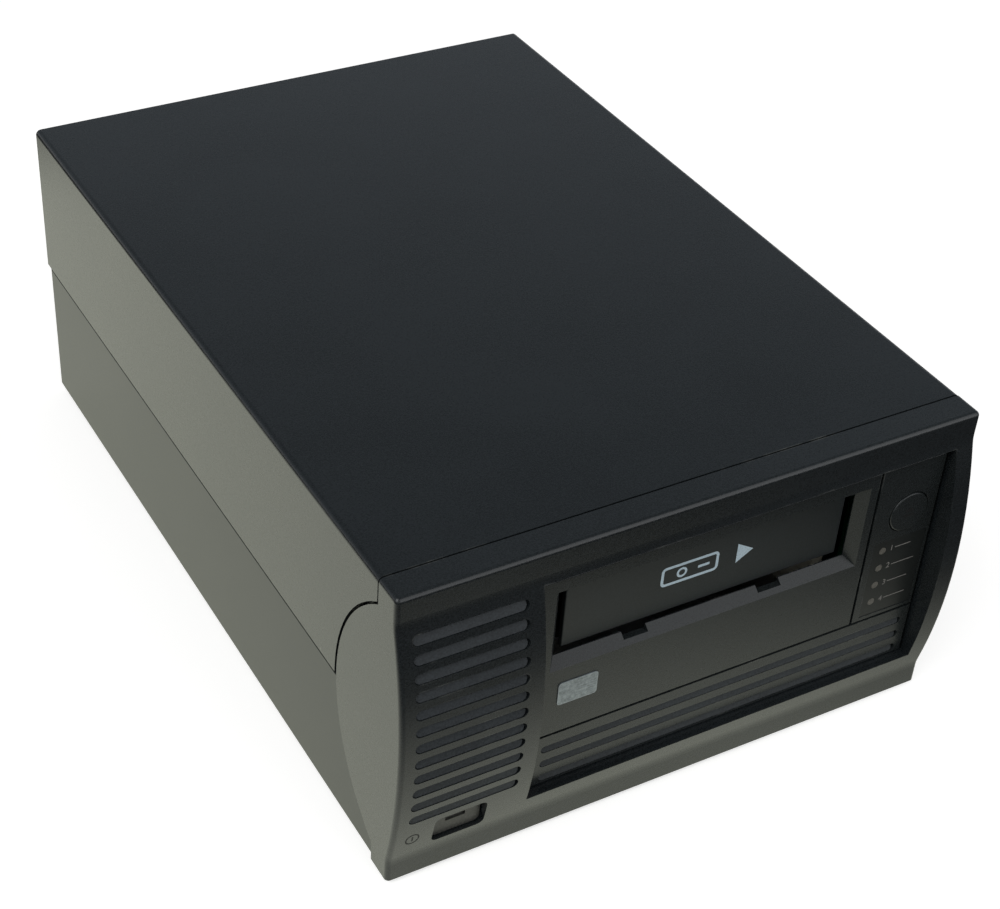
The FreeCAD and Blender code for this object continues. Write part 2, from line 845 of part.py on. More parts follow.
def make_front_bezel():
    outer = new_body("bezel_outer")
    block = pad(outer, "YZ", "-half", "half", [side_outline("0", "0")])
    bends = [value("base + brow_low"), value("base + chin_top")]
    blended = round_edges(outer, block, "blend_round", lambda box: box.XLength > 1
                          and near(box.YMin, value("brow")) and near(box.YMax, value("brow"))
                          and any(near(box.ZMin, height) for height in bends))

    def on_rim(box):
        flat_side = near(abs(box.XMin), value("half")) and near(box.XLength, 0)
        ahead = box.YMin < value("roof_edge") - 1 and box.YMax < value("roof_edge") + 0.01
        above_foot = box.ZMax > value("base") + 0.01
        top_line = near(box.YMax, value("brow")) and near(box.ZMin, value("top"))
        return (flat_side and ahead and above_foot) or top_line

    round_edges(outer, blended, "front_round", on_rim)

    inside = new_body("bezel_inside")
    hollow = [
        ("brow + cheek_depth + wall", "floor"),
        ("brow + wall", "floor"),
        ("brow + wall", "base + chin_top"),
        ("brow + wall", "base + brow_low", "front + wall", "base + mid_height"),
        ("brow + wall", "ceiling"),
        ("brow + cheek_depth + wall", "ceiling"),
    ]
    pad(inside, "YZ", "-cavity_half", "cavity_half", [hollow])
    sleeve = power_hole("power_sleeve_block", "power_sleeve", "front", "brow + power_sleeve_depth")
    cavity = cut("bezel_cavity", inside, [frame_block("bay_frame", "frame_wall", "frame_back"), sleeve])

    bay = frame_block("bay_opening", "0", "frame_back + wall")
    power = power_hole("power_opening", "0", "front - wall", "brow + power_sleeve_depth + wall")

    bars = new_body("louvre_bars")
    slot = stadium("louvre_left", "louvre_right", "base + louvre_top", "louvre_height / 2")
    bar = pad(bars, "XZ", "front - wall", "brow + wall", [slot])
    row(bars, bar, "V_Axis", "louvre_pitch", "louvre_count", backwards=True)
    behind = new_body("behind_louvres")
    pad(behind, "YZ", "-half", "half", [side_outline("louvre_depth", "0")])
    louvres = cut("louvre_cut", bars, [behind])
    shell = cut("bezel_shell", outer, [cavity, bay, power, louvres])

    lips = []
    lip_outline = side_outline("wall", "cheek_lip")
    lip_outline[0] = ("roof_edge", "ceiling - slip")
    lip_outline[1] = ("brow + wall", "ceiling - slip")
    lip_outline[4] = ("brow + wall", "floor + slip")
    lip_outline[5] = ("roof_edge", "floor + slip")
    for name, low, high in (
        ("left_lip", "-lip_out", "-(lip_out - lip_wall)"),
        ("right_lip", "lip_out - lip_wall", "lip_out"),
    ):
        lip = new_body(name)
        pad(lip, "YZ", low, high, [lip_outline])
        lips.append(lip)
    tabs = []
    for side in ("-", ""):
        for low in ("floor + slip", "ceiling - slip - tab_thick"):
            middle = "%stab_spread" % side
            tabs.append(box(
                "bezel_tab",
                ("%s - tab_width / 2" % middle, "brow + wall / 2", low),
                ("%s + tab_width / 2" % middle, "roof_edge + tab_reach", "%s + tab_thick" % low),
            ))
    return keep("front_bezel", fuse("bezel", [shell] + lips + tabs))


# ---------------------------------------------------------------- power button and switch

def centred_rect(across, up, wide, tall):
    return rect(
        "%s - %s / 2" % (across, wide), "%s - %s / 2" % (up, tall),
        "%s + %s / 2" % (across, wide), "%s + %s / 2" % (up, tall),
    )


def make_power_button():
    body = new_body("power_button_body")
    cap = rounded_rect(
        "power_x - power_width / 2 + power_gap", "power_z0 - power_height / 2 + power_gap",
        "power_x + power_width / 2 - power_gap", "power_z0 + power_height / 2 - power_gap",
        "(power_round - power_gap)",
    )
    block = pad(body, "XZ", "power_front", "power_rear", [cap])
    round_edges(body, block, "rim_round",
                lambda box: near(box.YMax, value("power_front")) and near(box.YLength, 0))
    flange = centred_rect("power_x", "power_z0", "(power_width + 2 * power_flange)",
                          "(power_height + 2 * power_flange)")
    flange_front = "brow + power_sleeve_depth + slip"
    pad(body, "XZ", flange_front, flange_front + " + power_flange_thick", [flange])
    pad(body, "XZ", "power_rear - wall", "stem_end", circles=[("power_x", "power_z0", "power_stem")])
    window = centred_rect("power_x", "power_z0", "power_lens_width", "power_lens_height")
    body.Tip = pocket(body, "XZ", "power_front - wall", "power_front + power_lens_deep", [window])
    return keep("power_button", body)


def make_power_lens():
    low = ("power_x - power_lens_width / 2", "power_front", "power_z0 - power_lens_height / 2")
    high = ("power_x + power_lens_width / 2", "power_front + power_lens_deep",
            "power_z0 + power_lens_height / 2")
    return keep("power_lens", box("power_lens_bar", low, high))


def make_spring(label, spot, radius, reach):
    """A compression spring of square wire along +Y; its coil is swept on a helix."""
    pitch = value(reach) / value("spring_turns")
    coil = Part.makeHelix(pitch, value(reach), value(radius))
    side = value("wire") / 2
    start = FreeCAD.Vector(value(radius), 0, 0)
    corners = [start + FreeCAD.Vector(dx * side, 0, dz * side)
               for dx, dz in ((-1, -1), (1, -1), (1, 1), (-1, 1), (-1, -1))]
    section = Part.makePolygon(corners)
    item = doc.addObject("Part::Feature", label + "_coil")
    item.Shape = Part.Wire(coil.Edges).makePipeShell([section], True, True)
    item.Placement = FreeCAD.Placement(FreeCAD.Vector(), TURNS["Y"])
    bind_place(item, spot)
    share("springs", item)


def make_power_switch():
    low = ("power_x - switch_side / 2", "switch_front", "power_z0 - switch_side / 2")
    high = ("power_x + switch_side / 2", "switch_back", "power_z0 + switch_side / 2")
    case = box("switch_case", low, high)
    bore = rod("switch_bore", "Y", ("power_x", "switch_front - wall", "power_z0"),
               "plunger_radius + pin_play", "switch_bore_long + wall")
    keep("power_switch", cut("switch_body", case, [bore]))
    keep("switch_plunger", rod("plunger", "Y", ("power_x", "stem_end", "power_z0"),
                               "plunger_radius", "plunger_long"))
    spot = ("power_x", "switch_front - power_spring_long - wire / 2", "power_z0")
    make_spring("power_spring", spot, "button_spring_radius", "power_spring_long")
    plate = box("bracket_plate",
                ("power_x - switch_side / 2", "switch_back", "floor"),
                ("power_x + switch_side / 2", "switch_back + bracket_thick",
                 "power_z0 + switch_side / 2"))
    foot = box("bracket_foot_plate",
               ("power_x - switch_side / 2", "switch_back", "floor"),
               ("power_x + switch_side / 2", "switch_back + bracket_foot", "floor + bracket_thick"))
    share("mounting_brackets", fuse("switch_bracket_sheet", [plate, foot]))


# ---------------------------------------------------------------- front of the drive

def make_faceplate():
    body = new_body("faceplate_body")
    rim = rect("face_left", "base + face_low", "face_right", "base + face_high")
    plate = pad(body, "XZ", "face", "face_back", [rim])
    round_edges(body, plate, "face_round",
                lambda box: near(box.YMax, value("face")) and near(box.YLength, 0))
    inner = rect("face_left + skirt_wall", "base + face_low + skirt_wall",
                 "face_right - skirt_wall", "base + face_high - skirt_wall")
    pad(body, "XZ", "face_back - skirt_wall", "skirt_back", [rim, inner])
    throat = rect("throat_left", "base + throat_low", "throat_right", "base + throat_high")
    mouth = rect("throat_left - funnel_flare", "base + throat_low - funnel_flare",
                 "throat_right + funnel_flare", "base + throat_high + funnel_flare")
    loft(body, "PartDesign::SubtractiveLoft", "XZ",
         [("face", mouth), ("face + funnel_depth", throat)])
    pocket(body, "XZ", "face", "face_back + wall", [throat])
    notches = [
        rect("%s - notch_width / 2" % spot, "base + throat_low - notch_drop",
             "%s + notch_width / 2" % spot, "base + throat_low + notch_drop")
        for spot in ("notch_left", "notch_right")
    ]
    pocket(body, "XZ", "face_back - notch_depth", "face_back + wall", notches)
    upright = rect("split_x - split_width / 2", "base + split_low",
                   "split_x + split_width / 2", "base + face_high + wall")
    level = rect("face_left - wall", "base + split_low - split_width / 2",
                 "face_right + wall", "base + split_low + split_width / 2")
    pocket(body, "XZ", "face - wall", "face + split_depth", [upright])
    pocket(body, "XZ", "face - wall", "face + split_depth", [level])
    label = rect("label_left", "base + label_low", "label_right", "base + label_high")
    pocket(body, "XZ", "face - wall", "face + label_sunk", [label])
    badge = rounded_rect("badge_left", "base + badge_low", "badge_right", "base + badge_high",
                         "badge_round")
    pocket(body, "XZ", "face - wall", "face + badge_sunk", [badge])
    holes = [("eject_x", "eject_z0", "eject_radius + eject_gap")]
    for index in range(int(value("lamp_count"))):
        holes.append(("lamp_x", "base + lamp_top - %d * lamp_pitch" % index, "lamp_radius"))
    pocket(body, "XZ", "face - wall", "face_back + wall", circles=holes)
    slot = stadium("vent_left", "vent_right", "base + vent_top", "vent_height / 2")
    vent = pocket(body, "XZ", "face - wall", "face + vent_depth", [slot])
    row(body, vent, "V_Axis", "vent_pitch", "vent_count", backwards=True)
    lugs = []
    for low in ("door_left - lug_gap - door_spring_long - lug_gap - lug_width",
                "door_right + lug_gap"):
        lugs.append(rect(low, "pin_z - knuckle_radius", "%s + lug_width" % low,
                         "pin_z + knuckle_radius"))
    pad(body, "XZ", "face_back - wall / 2", "pin_y + knuckle_radius", lugs)
    posts = [("eject_x", "base + %s" % up, "board_post")
             for up in ("label_low - board_post", "eject_z + eject_radius + 2 * board_post")]
    pad(body, "XZ", "face_back - wall / 2", "board_front", circles=posts)
    body.Tip = pocket(body, "YZ", "door_left - door_gap - lug_width * 2", "door_right + door_gap + lug_width",
                      circles=[("pin_y", "pin_z", "pin_radius + pin_play / 2")])
    return keep("drive_faceplate", body)


def make_face_trim():
    badge = new_body("badge_body")
    outline = rounded_rect("badge_left + pin_play", "base + badge_low + pin_play",
                           "badge_right - pin_play", "base + badge_high - pin_play", "badge_round")
    front = "face + badge_sunk - badge_thick"
    pad(badge, "XZ", front, "face + badge_sunk", [outline])
    keep("badge_plate", badge)
    label = new_body("label_body")
    film = rect("label_left + pin_play", "base + label_low + pin_play",
                "label_right - pin_play", "base + label_high - pin_play")
    lamps = [("lamp_x", "base + lamp_top - %d * lamp_pitch" % index, "lamp_radius + pin_play")
             for index in range(int(value("lamp_count")))]
    pad(label, "XZ", "face + label_sunk - label_thick", "face + label_sunk", [film], lamps)
    keep("indicator_label", label)
    pipes = []
    bulbs = []
    for index, (across, up, _) in enumerate(lamps):
        start = "face + label_sunk - label_thick"
        reach = "(board_front - lamp_radius) - (%s)" % start
        pipes.append(rod("light_pipe_%d" % index, "Y", (across, start, up),
                         "lamp_radius - pin_play", reach))
        bulbs.append(box("lamp_%d" % index,
                         ("lamp_x - lamp_radius", "board_front - lamp_radius", "%s - lamp_radius" % up),
                         ("lamp_x + lamp_radius", "board_front", "%s + lamp_radius" % up)))
    keep("indicator_lenses", group("light_pipes", pipes))
    share("panel_components", group("lamp_group", bulbs))


def make_eject_button():
    body = new_body("eject_button_body")
    centre = ("eject_x", "eject_z0")
    cap = pad(body, "XZ", "eject_front", "eject_rear", circles=[centre + ("eject_radius",)])
    round_edges(body, cap, "rim_round", lambda box: near(box.YMax, value("eject_front")))
    flange = "face_back + slip"
    pad(body, "XZ", flange, flange + " + eject_flange_thick",
        circles=[centre + ("eject_radius + eject_gap + eject_flange",)])
    stem_reach = "eject_rear + eject_stem_long"
    body.Tip = pad(body, "XZ", "eject_rear - rim_round", stem_reach, circles=[centre + ("eject_stem",)])
    return keep("eject_button", body)


def make_panel_board():
    low = ("split_x + skirt_wall", "board_front", "base + label_low - 2 * board_post")
    high = ("face_right - 2 * skirt_wall", "board_front + board_thick",
            "base + eject_z + eject_radius + 3 * board_post")
    keep("panel_board", box("panel_board_sheet", low, high))
    switch = box("tact_case",
                 ("eject_x - tact_side / 2", "tact_front", "eject_z0 - tact_side / 2"),
                 ("eject_x + tact_side / 2", "board_front", "eject_z0 + tact_side / 2"))
    share("panel_components", switch)
    front = "(face_back + slip + eject_flange_thick + eject_travel + wire / 2)"
    make_spring("eject_spring", ("eject_x", front, "eject_z0"), "eject_stem + wire",
                "tact_front - wire / 2 - " + front)


def make_door():
    body = new_body("door_body")
    plate = rect("door_left", "base + door_low", "door_right", "base + door_top")
    slab = pad(body, "XZ", "door_front", "door_front + door_thick", [plate])
    round_edges(body, slab, "rim_round",
                lambda box: near(box.YMax, value("door_front")) and near(box.YLength, 0))
    pad(body, "YZ", "door_left", "door_right", circles=[("pin_y", "pin_z", "knuckle_radius")])
    body.Tip = pocket(body, "YZ", "door_left - wall", "door_right + wall",
                      circles=[("pin_y", "pin_z", "pin_radius + pin_play")])
    keep("cartridge_door", body)
    start = "door_left - 2 * lug_gap - door_spring_long - lug_width"
    reach = "door_right + lug_gap + lug_width - (%s)" % start
    keep("door_pin", rod("door_pin_rod", "X", (start, "pin_y", "pin_z"), "pin_radius", reach))
    low = "door_left - lug_gap - door_spring_long"
    coil = rod("door_spring_coil", "X", (low, "pin_y", "pin_z"), "knuckle_radius - slip", "door_spring_long")
    bore = rod("door_spring_bore", "X", (low, "pin_y", "pin_z"), "pin_radius + pin_play", "door_spring_long")
    leg = box("door_spring_leg_bar",
              (low, "pin_y + pin_radius + pin_play", "pin_z - door_spring_leg"),
              ("%s + wire" % low, "pin_y + knuckle_radius - slip", "pin_z"))
    share("springs", fuse("door_spring_wire", [cut("door_spring_tube", coil, [bore]), leg]))


# ---------------------------------------------------------------- chassis and boards of the drive

def make_chassis():
    body = new_body("chassis_body")
    outline = [
        ("chassis_left", "chassis_floor - sheet"),
        ("chassis_right", "chassis_floor - sheet"),
        ("chassis_right", "chassis_rim"),
        ("inner_right", "chassis_rim"),
        ("inner_right", "chassis_floor"),
        ("inner_left", "chassis_floor"),
        ("inner_left", "chassis_rim"),
        ("chassis_left", "chassis_rim"),
    ]
    pad(body, "XZ", "chassis_front", "chassis_back", [outline])
    rear_wall = rect("inner_left - sheet / 2", "chassis_floor - sheet / 2",
                     "inner_right + sheet / 2", "chassis_rim")
    opening = centred_rect("face_mid", "board_high + connector_tall / 2", "connector_long",
                           "connector_tall")
    body.Tip = pad(body, "XZ", "chassis_back - sheet", "chassis_back", [rear_wall, opening])
    keep("drive_chassis", body)
    lid = new_body("lid_body")
    cover = rect("chassis_left", "chassis_rim", "chassis_right", "chassis_rim + sheet")
    pad(lid, "XZ", "chassis_front", "chassis_back", [cover])
    flanges = [
        rect(low, "chassis_rim - lid_flange", low + " + sheet - pin_play", "chassis_rim + sheet / 2")
        for low in ("inner_left + pin_play", "inner_right - sheet")
    ]
    pad(lid, "XZ", "chassis_front", "chassis_back - sheet - slip", flanges)
    keep("drive_lid", lid)


def make_drive_board():
    low = ("inner_left + board_margin", "board_y1", "board_low")
    high = ("inner_right - board_margin", "board_y2", "board_high")
    keep("drive_board", box("drive_board_sheet", low, high))
    standoffs = []
    for across in ("inner_left + 2 * board_margin", "inner_right - 2 * board_margin"):
        for depth in ("board_y1 + board_margin", "(board_y1 + board_y2) / 2", "board_y2 - board_margin"):
            standoffs.append(rod("standoff", "Z", (across, depth, "chassis_floor"),
                                 "standoff_radius", "board_rise"))
    share("standoffs", group("standoff_group", standoffs))
    chips = []
    for column in range(3):
        for line in range(2):
            corner = ("inner_left + (%d + 1) * (chip_side + board_margin * 2) - chip_side" % column,
                      "board_y1 + (%d + 1) * (chip_side + board_margin * 4) - chip_side" % line)
            chips.append(box("chip", corner + ("board_high",),
                             (corner[0] + " + chip_side", corner[1] + " + chip_side",
                              "board_high + chip_thick")))
    share("board_components", group("chip_group", chips))
    connector = box("drive_connector_block",
                    ("face_mid - connector_long / 2", "board_y2 - connector_deep", "board_high"),
                    ("face_mid + connector_long / 2", "chassis_back", "board_high + connector_tall"))
    share("board_components", connector)


def make_deck():
    body = new_body("deck_body")
    plate = rect("inner_left", "deck_y1", "inner_right", "deck_y2")
    pad(body, "XY", "deck_bottom", "deck_top", [plate])
    keep("mechanism_deck", body)
    rails = []
    for name, across in (("left_rail", "throat_x - tray_outer"),
                         ("right_rail", "throat_x + tray_outer - rail_width")):
        rails.append(box(name, (across, "tray_y1 + wall", "deck_top"),
                         ("%s + rail_width" % across, "tray_y2 + tray_travel", "tray_bottom - slip")))
    share("deck_supports", group("rail_group", rails))


def make_tray():
    body = new_body("tray_body")
    left = [
        ("throat_x - tray_outer", "tray_bottom"),
        ("throat_x - tray_outer", "tray_top"),
        ("throat_x - tray_inner + tray_flange", "tray_top"),
        ("throat_x - tray_inner + tray_flange", "tray_top - sheet"),
        ("throat_x - tray_inner", "tray_top - sheet"),
        ("throat_x - tray_inner", "tray_floor"),
    ]
    right = [("2 * throat_x - (%s)" % across, up) for across, up in reversed(left)]
    pad(body, "XZ", "tray_y1", "tray_y2", [left + right])
    door_room = rect("throat_x - tray_inner", "tray_y1 - wall", "throat_x + tray_inner",
                     "tray_y1 + tray_open")
    pocket(body, "XY", "tray_top - 2 * sheet", "tray_top + sheet", [door_room])
    hub_way = rounded_rect("throat_x - 2 * chuck_radius", "hub_y - 2 * chuck_radius",
                           "throat_x + 2 * chuck_radius", "hub_y + chuck_radius", "chuck_radius / 2")
    body.Tip = pocket(body, "XY", "tray_bottom - sheet", "tray_floor + sheet", [hub_way])
    keep("cartridge_tray", body)


def make_loader():
    # half thicknesses of a straight-sided tooth near its root and at its tip
    lean = "module * tan(gear_angle * 1 deg)"
    root = "(pi * module / 4 + gear_dedendum * %s - gear_play)" % lean
    tip = "(pi * module / 4 - gear_addendum * %s - gear_play)" % lean
    rack_root = "rack_low + (gear_addendum + gear_dedendum) * module"
    foot = " + gear_overlap * module"
    rack = new_body("rack_body")
    first = "pinion_y - rack_teeth * pi * module / 2 + pi * module / 2"
    bar = rect("%s - pi * module / 2" % first, rack_root,
               "%s + (rack_teeth - 0.5) * pi * module" % first, "tray_bottom")
    pad(rack, "YZ", "pinion_x - gear_width / 2", "pinion_x + gear_width / 2", [bar])
    tooth = [
        ("%s - %s" % (first, root), rack_root + foot),
        ("%s - %s" % (first, tip), "rack_low"),
        ("%s + %s" % (first, tip), "rack_low"),
        ("%s + %s" % (first, root), rack_root + foot),
    ]
    cog = pad(rack, "YZ", "pinion_x - gear_width / 2", "pinion_x + gear_width / 2", [tooth])
    row(rack, cog, "H_Axis", "pi * module", "rack_teeth")
    keep("tray_rack", rack)

    pinion = new_body("pinion_body")
    pad(pinion, "YZ", "-gear_width / 2", "gear_width / 2",
        circles=[("0", "0", "pitch_radius - gear_dedendum * module")])
    spoke = [
        ("-%s" % root, "pitch_radius - (gear_dedendum + gear_overlap) * module"),
        (root, "pitch_radius - (gear_dedendum + gear_overlap) * module"),
        (tip, "pitch_radius + gear_addendum * module"),
        ("-%s" % tip, "pitch_radius + gear_addendum * module"),
    ]
    cog = pad(pinion, "YZ", "-gear_width / 2", "gear_width / 2", [spoke])
    wheel = pinion.newObject("PartDesign::PolarPattern", "pinion_teeth_ring")
    wheel.Originals = [cog]
    wheel.Axis = (cog.Profile[0], ["N_Axis"])
    wheel.Angle = 360
    bind(wheel, "Occurrences", "pinion_teeth")
    pinion.Tip = wheel
    pinion.Tip = pad(pinion, "YZ", "-gear_width / 2", "gear_width / 2 + loader_long / 4",
                     circles=[("0", "0", "pinion_shaft")])
    bind_place(pinion, ("pinion_x", "pinion_y", "pinion_z"))
    keep("loader_pinion", pinion)

    start = "pinion_x + gear_width / 2 + slip"
    can = rod("loader_can", "X", (start, "pinion_y", "pinion_z"), "loader_radius", "loader_long")
    bore = rod("loader_bore", "X", (start, "pinion_y", "pinion_z"), "pinion_shaft + run_play",
               "loader_long / 2")
    keep("loader_motor", cut("loader_motor_can", can, [bore]))
    block = box("saddle_block",
                ("%s + wall" % start, "pinion_y - loader_radius", "deck_top"),
                ("%s + loader_long - wall" % start, "pinion_y + loader_radius", "pinion_z - wall"))
    seat = rod("saddle_seat", "X", (start, "pinion_y", "pinion_z"), "loader_radius + pin_play",
               "loader_long")
    share("deck_supports", cut("saddle", block, [seat]))


def make_reels():
    for name, across, depth in (("hub_motor", "throat_x", "hub_y"), ("reel_motor", "reel_x", "reel_y")):
        can = rod(name + "_can", "Z", (across, depth, "deck_top"), "motor_radius", "motor_tall")
        shaft_long = "tray_bottom - slip - deck_top" if name == "hub_motor" else \
            "reel_z + reel_tall - slip - deck_top"
        shaft = rod(name + "_shaft", "Z", (across, depth, "deck_top"), "shaft_radius", shaft_long)
        share("reel_motors", fuse(name + "_solid", [can, shaft]))
    chuck = new_body("chuck_body")
    chuck_low = "motor_top + slip"
    chuck_high = "%s + chuck_tall - 2 * slip" % chuck_low
    pad(chuck, "XY", chuck_low, chuck_high, circles=[("0", "0", "chuck_radius")])
    tooth = rect("chuck_tooth_in", "-module", "chuck_tooth_out", "module")
    cog = pad(chuck, "XY", "%s - slip" % chuck_high, "%s + chuck_tooth_high" % chuck_high, [tooth])
    crown = chuck.newObject("PartDesign::PolarPattern", "chuck_crown")
    crown.Originals = [cog]
    crown.Axis = (cog.Profile[0], ["N_Axis"])
    crown.Angle = 360
    bind(crown, "Occurrences", "chuck_teeth")
    chuck.Tip = crown
    chuck.Tip = pocket(chuck, "XY", "motor_top - wall", "tray_bottom",
                       circles=[("0", "0", "shaft_radius + run_play")])
    bind_place(chuck, ("throat_x", "hub_y", "0"))
    keep("drive_chuck", chuck)
    reel = new_body("reel_body")
    profile = [
        ("shaft_radius + run_play", "reel_z"),
        ("reel_radius", "reel_z"),
        ("reel_radius", "reel_z + reel_flange"),
        ("reel_hub", "reel_z + reel_flange"),
        ("reel_hub", "reel_z + reel_tall - reel_flange"),
        ("reel_radius", "reel_z + reel_tall - reel_flange"),
        ("reel_radius", "reel_z + reel_tall"),
        ("shaft_radius + run_play", "reel_z + reel_tall"),
    ]
    outline = new_sketch(reel, "XZ", "0", [profile])
    turned = reel.newObject("PartDesign::Revolution", "reel_turned")
    turned.Profile = outline
    turned.ReferenceAxis = (outline, ["V_Axis"])
    turned.Angle = 360
    bind_place(reel, ("reel_x", "reel_y", "0"))
    keep("take_up_reel", reel)


def roller_spots():
    """The tape's way round the head: two rollers before it and two after, at mirrored places."""
    spots = []
    for side in ("-", "+"):
        spots.append(("head_x - far_roller_out", "head_y %s far_roller_side" % side))
        spots.append(("head_x - near_roller_out", "head_y %s near_roller_side" % side))
    return spots


def make_tape_path():
    posts = []
    for index, (across, depth) in enumerate(roller_spots(), start=1):
        shoulder = rod("post_shoulder", "Z", (across, depth, "deck_top"), "post_shoulder",
                       "roller_z - slip - deck_top")
        pin = rod("post_pin", "Z", (across, depth, "deck_top"), "post_radius",
                  "roller_z + roller_tall + 2 * slip - deck_top")
        cap = rod("post_cap", "Z", (across, depth, "roller_z + roller_tall + slip"),
                  "post_cap", "post_cap_thick")
        posts.append(fuse("post_%d" % index, [shoulder, pin, cap]))
        wheel = rod("wheel", "Z", (across, depth, "roller_z"), "roller_radius", "roller_tall")
        bore = rod("wheel_bore", "Z", (across, depth, "roller_z - wall"),
                   "post_radius + run_play", "roller_tall + 2 * wall")
        keep("guide_roller_%d" % index, cut("roller_%d" % index, wheel, [bore]))
    share("guide_posts", group("post_group", posts))
    rods = []
    bores = []
    for side in ("-", "+"):
        spot = ("head_x", "head_y %s head_rod_half" % side)
        rods.append(rod("head_rod_pin", "Z", spot + ("deck_top",), "head_rod",
                        "head_z + head_tall + head_stroke * 2 - deck_top"))
        bores.append(rod("head_bore", "Z", spot + ("head_z - wall",), "head_rod + run_play",
                         "head_tall + 2 * wall"))
    share("guide_posts", group("head_rod_group", rods))
    block = box("head_block", ("head_x - head_half", "head_y - head_long / 2", "head_z"),
                ("head_x + head_half", "head_y + head_long / 2", "head_z + head_tall"))
    keep("head_carriage", cut("head_carriage_block", block, bores))
    face = box("head_face_bar",
               ("head_x - head_half - wall", "head_y - head_long / 4", "head_z + wall"),
               ("head_x - head_half", "head_y + head_long / 4", "head_z + head_tall - wall"))
    keep("read_write_head", face)
    magnet = box("magnet_block",
                 ("inner_right - magnet_thick", "head_y - head_half", "head_z - head_stroke * 2"),
                 ("inner_right", "head_y + head_half", "head_z + head_tall + head_stroke * 2"))
    keep("head_magnet", magnet)


def make_carriers():
    """Angle rails that carry the drive above the base, one each side."""
    pieces = []
    for name, wall_low, wall_high, foot_low, foot_high in (
        ("left", "chassis_left - carrier_thick", "chassis_left",
         "chassis_left - carrier_thick", "chassis_left + carrier_foot"),
        ("right", "chassis_right", "chassis_right + carrier_thick",
         "chassis_right - carrier_foot", "chassis_right + carrier_thick"),
    ):
        upright = box(name + "_upright", (wall_low, "brow + carrier_front", "floor"),
                      (wall_high, "brow + carrier_front + carrier_long", "deck_top"))
        foot = box(name + "_foot", (foot_low, "brow + carrier_front", "floor"),
                   (foot_high, "brow + carrier_front + carrier_long", "floor + carrier_thick"))
        pieces.append(fuse(name + "_carrier", [upright, foot]))
    share("mounting_brackets", group("carrier_group", pieces))


# ---------------------------------------------------------------- power supply

def make_supply():
    right = "supply_left + supply_width"
    rear_end = "brow + supply_front + supply_long"
    floor_plate = box("supply_floor", ("supply_left", "brow + supply_front", "floor"),
                      (right, rear_end, "floor + sheet"))
    upright = box("supply_upright", (right + " - sheet", "brow + supply_front", "floor"),
                  (right, rear_end, "floor + supply_tall"))
    keep("supply_bracket", fuse("supply_bracket_sheet", [floor_plate, upright]))
    board_left = right + " - sheet - board_rise - board_thick"
    low_z = "floor + 2 * board_margin"
    high_z = "floor + supply_tall - board_margin"
    keep("supply_board", box("supply_board_sheet",
                             (board_left, "brow + supply_front + board_margin", low_z),
                             (board_left + " + board_thick", rear_end + " - board_margin", high_z)))
    standoffs = []
    for depth in ("brow + supply_front + 2 * board_margin", rear_end + " - 2 * board_margin"):
        for up in (low_z + " + board_margin", high_z + " - board_margin"):
            standoffs.append(rod("supply_standoff", "X", (board_left + " + board_thick", depth, up),
                                 "standoff_radius", "board_rise"))
    share("standoffs", group("supply_standoff_group", standoffs))
    middle = "brow + supply_front + supply_long / 2"
    core = box("transformer_core",
               (board_left + " - core_side", middle + " - core_side / 2", low_z + " + board_margin"),
               (board_left, middle + " + core_side / 2", low_z + " + board_margin + core_tall"))
    share("supply_components", core)
    cans = []
    for index in range(3):
        along = "%s + core_side + %d * (2 * capacitor_radius + board_margin / 2)" % (middle, index)
        if index == 2:
            along = "%s - core_side" % middle
        cans.append(rod("capacitor", "X", (board_left + " - capacitor_long", along,
                                           low_z + " + board_margin + capacitor_radius"),
                        "capacitor_radius", "capacitor_long"))
    share("supply_components", group("capacitor_group", cans))
    sink = new_body("heatsink_body")
    sink_low = low_z + " + core_tall + 2 * board_margin"
    back = rect("%s - fin_thick" % board_left, sink_low, board_left, high_z + " - board_margin")
    pad(sink, "XZ", middle + " - core_side", middle + " + core_side", [back])
    fin = rect("%s - fin_reach" % board_left, sink_low, "%s - fin_thick / 2" % board_left,
               "%s + fin_thick" % sink_low)
    blade = pad(sink, "XZ", middle + " - core_side", middle + " + core_side", [fin])
    fin_step = "(%s - board_margin - (%s) - fin_thick) / (fin_count - 1)" % (high_z, sink_low)
    row(sink, blade, "V_Axis", fin_step, "fin_count")
    keep("supply_heatsink", sink)


# ---------------------------------------------------------------- rear panel

def port_heights():
    return [("lower", "base + port_low_z"), ("upper", "base + port_low_z + port_pitch")]


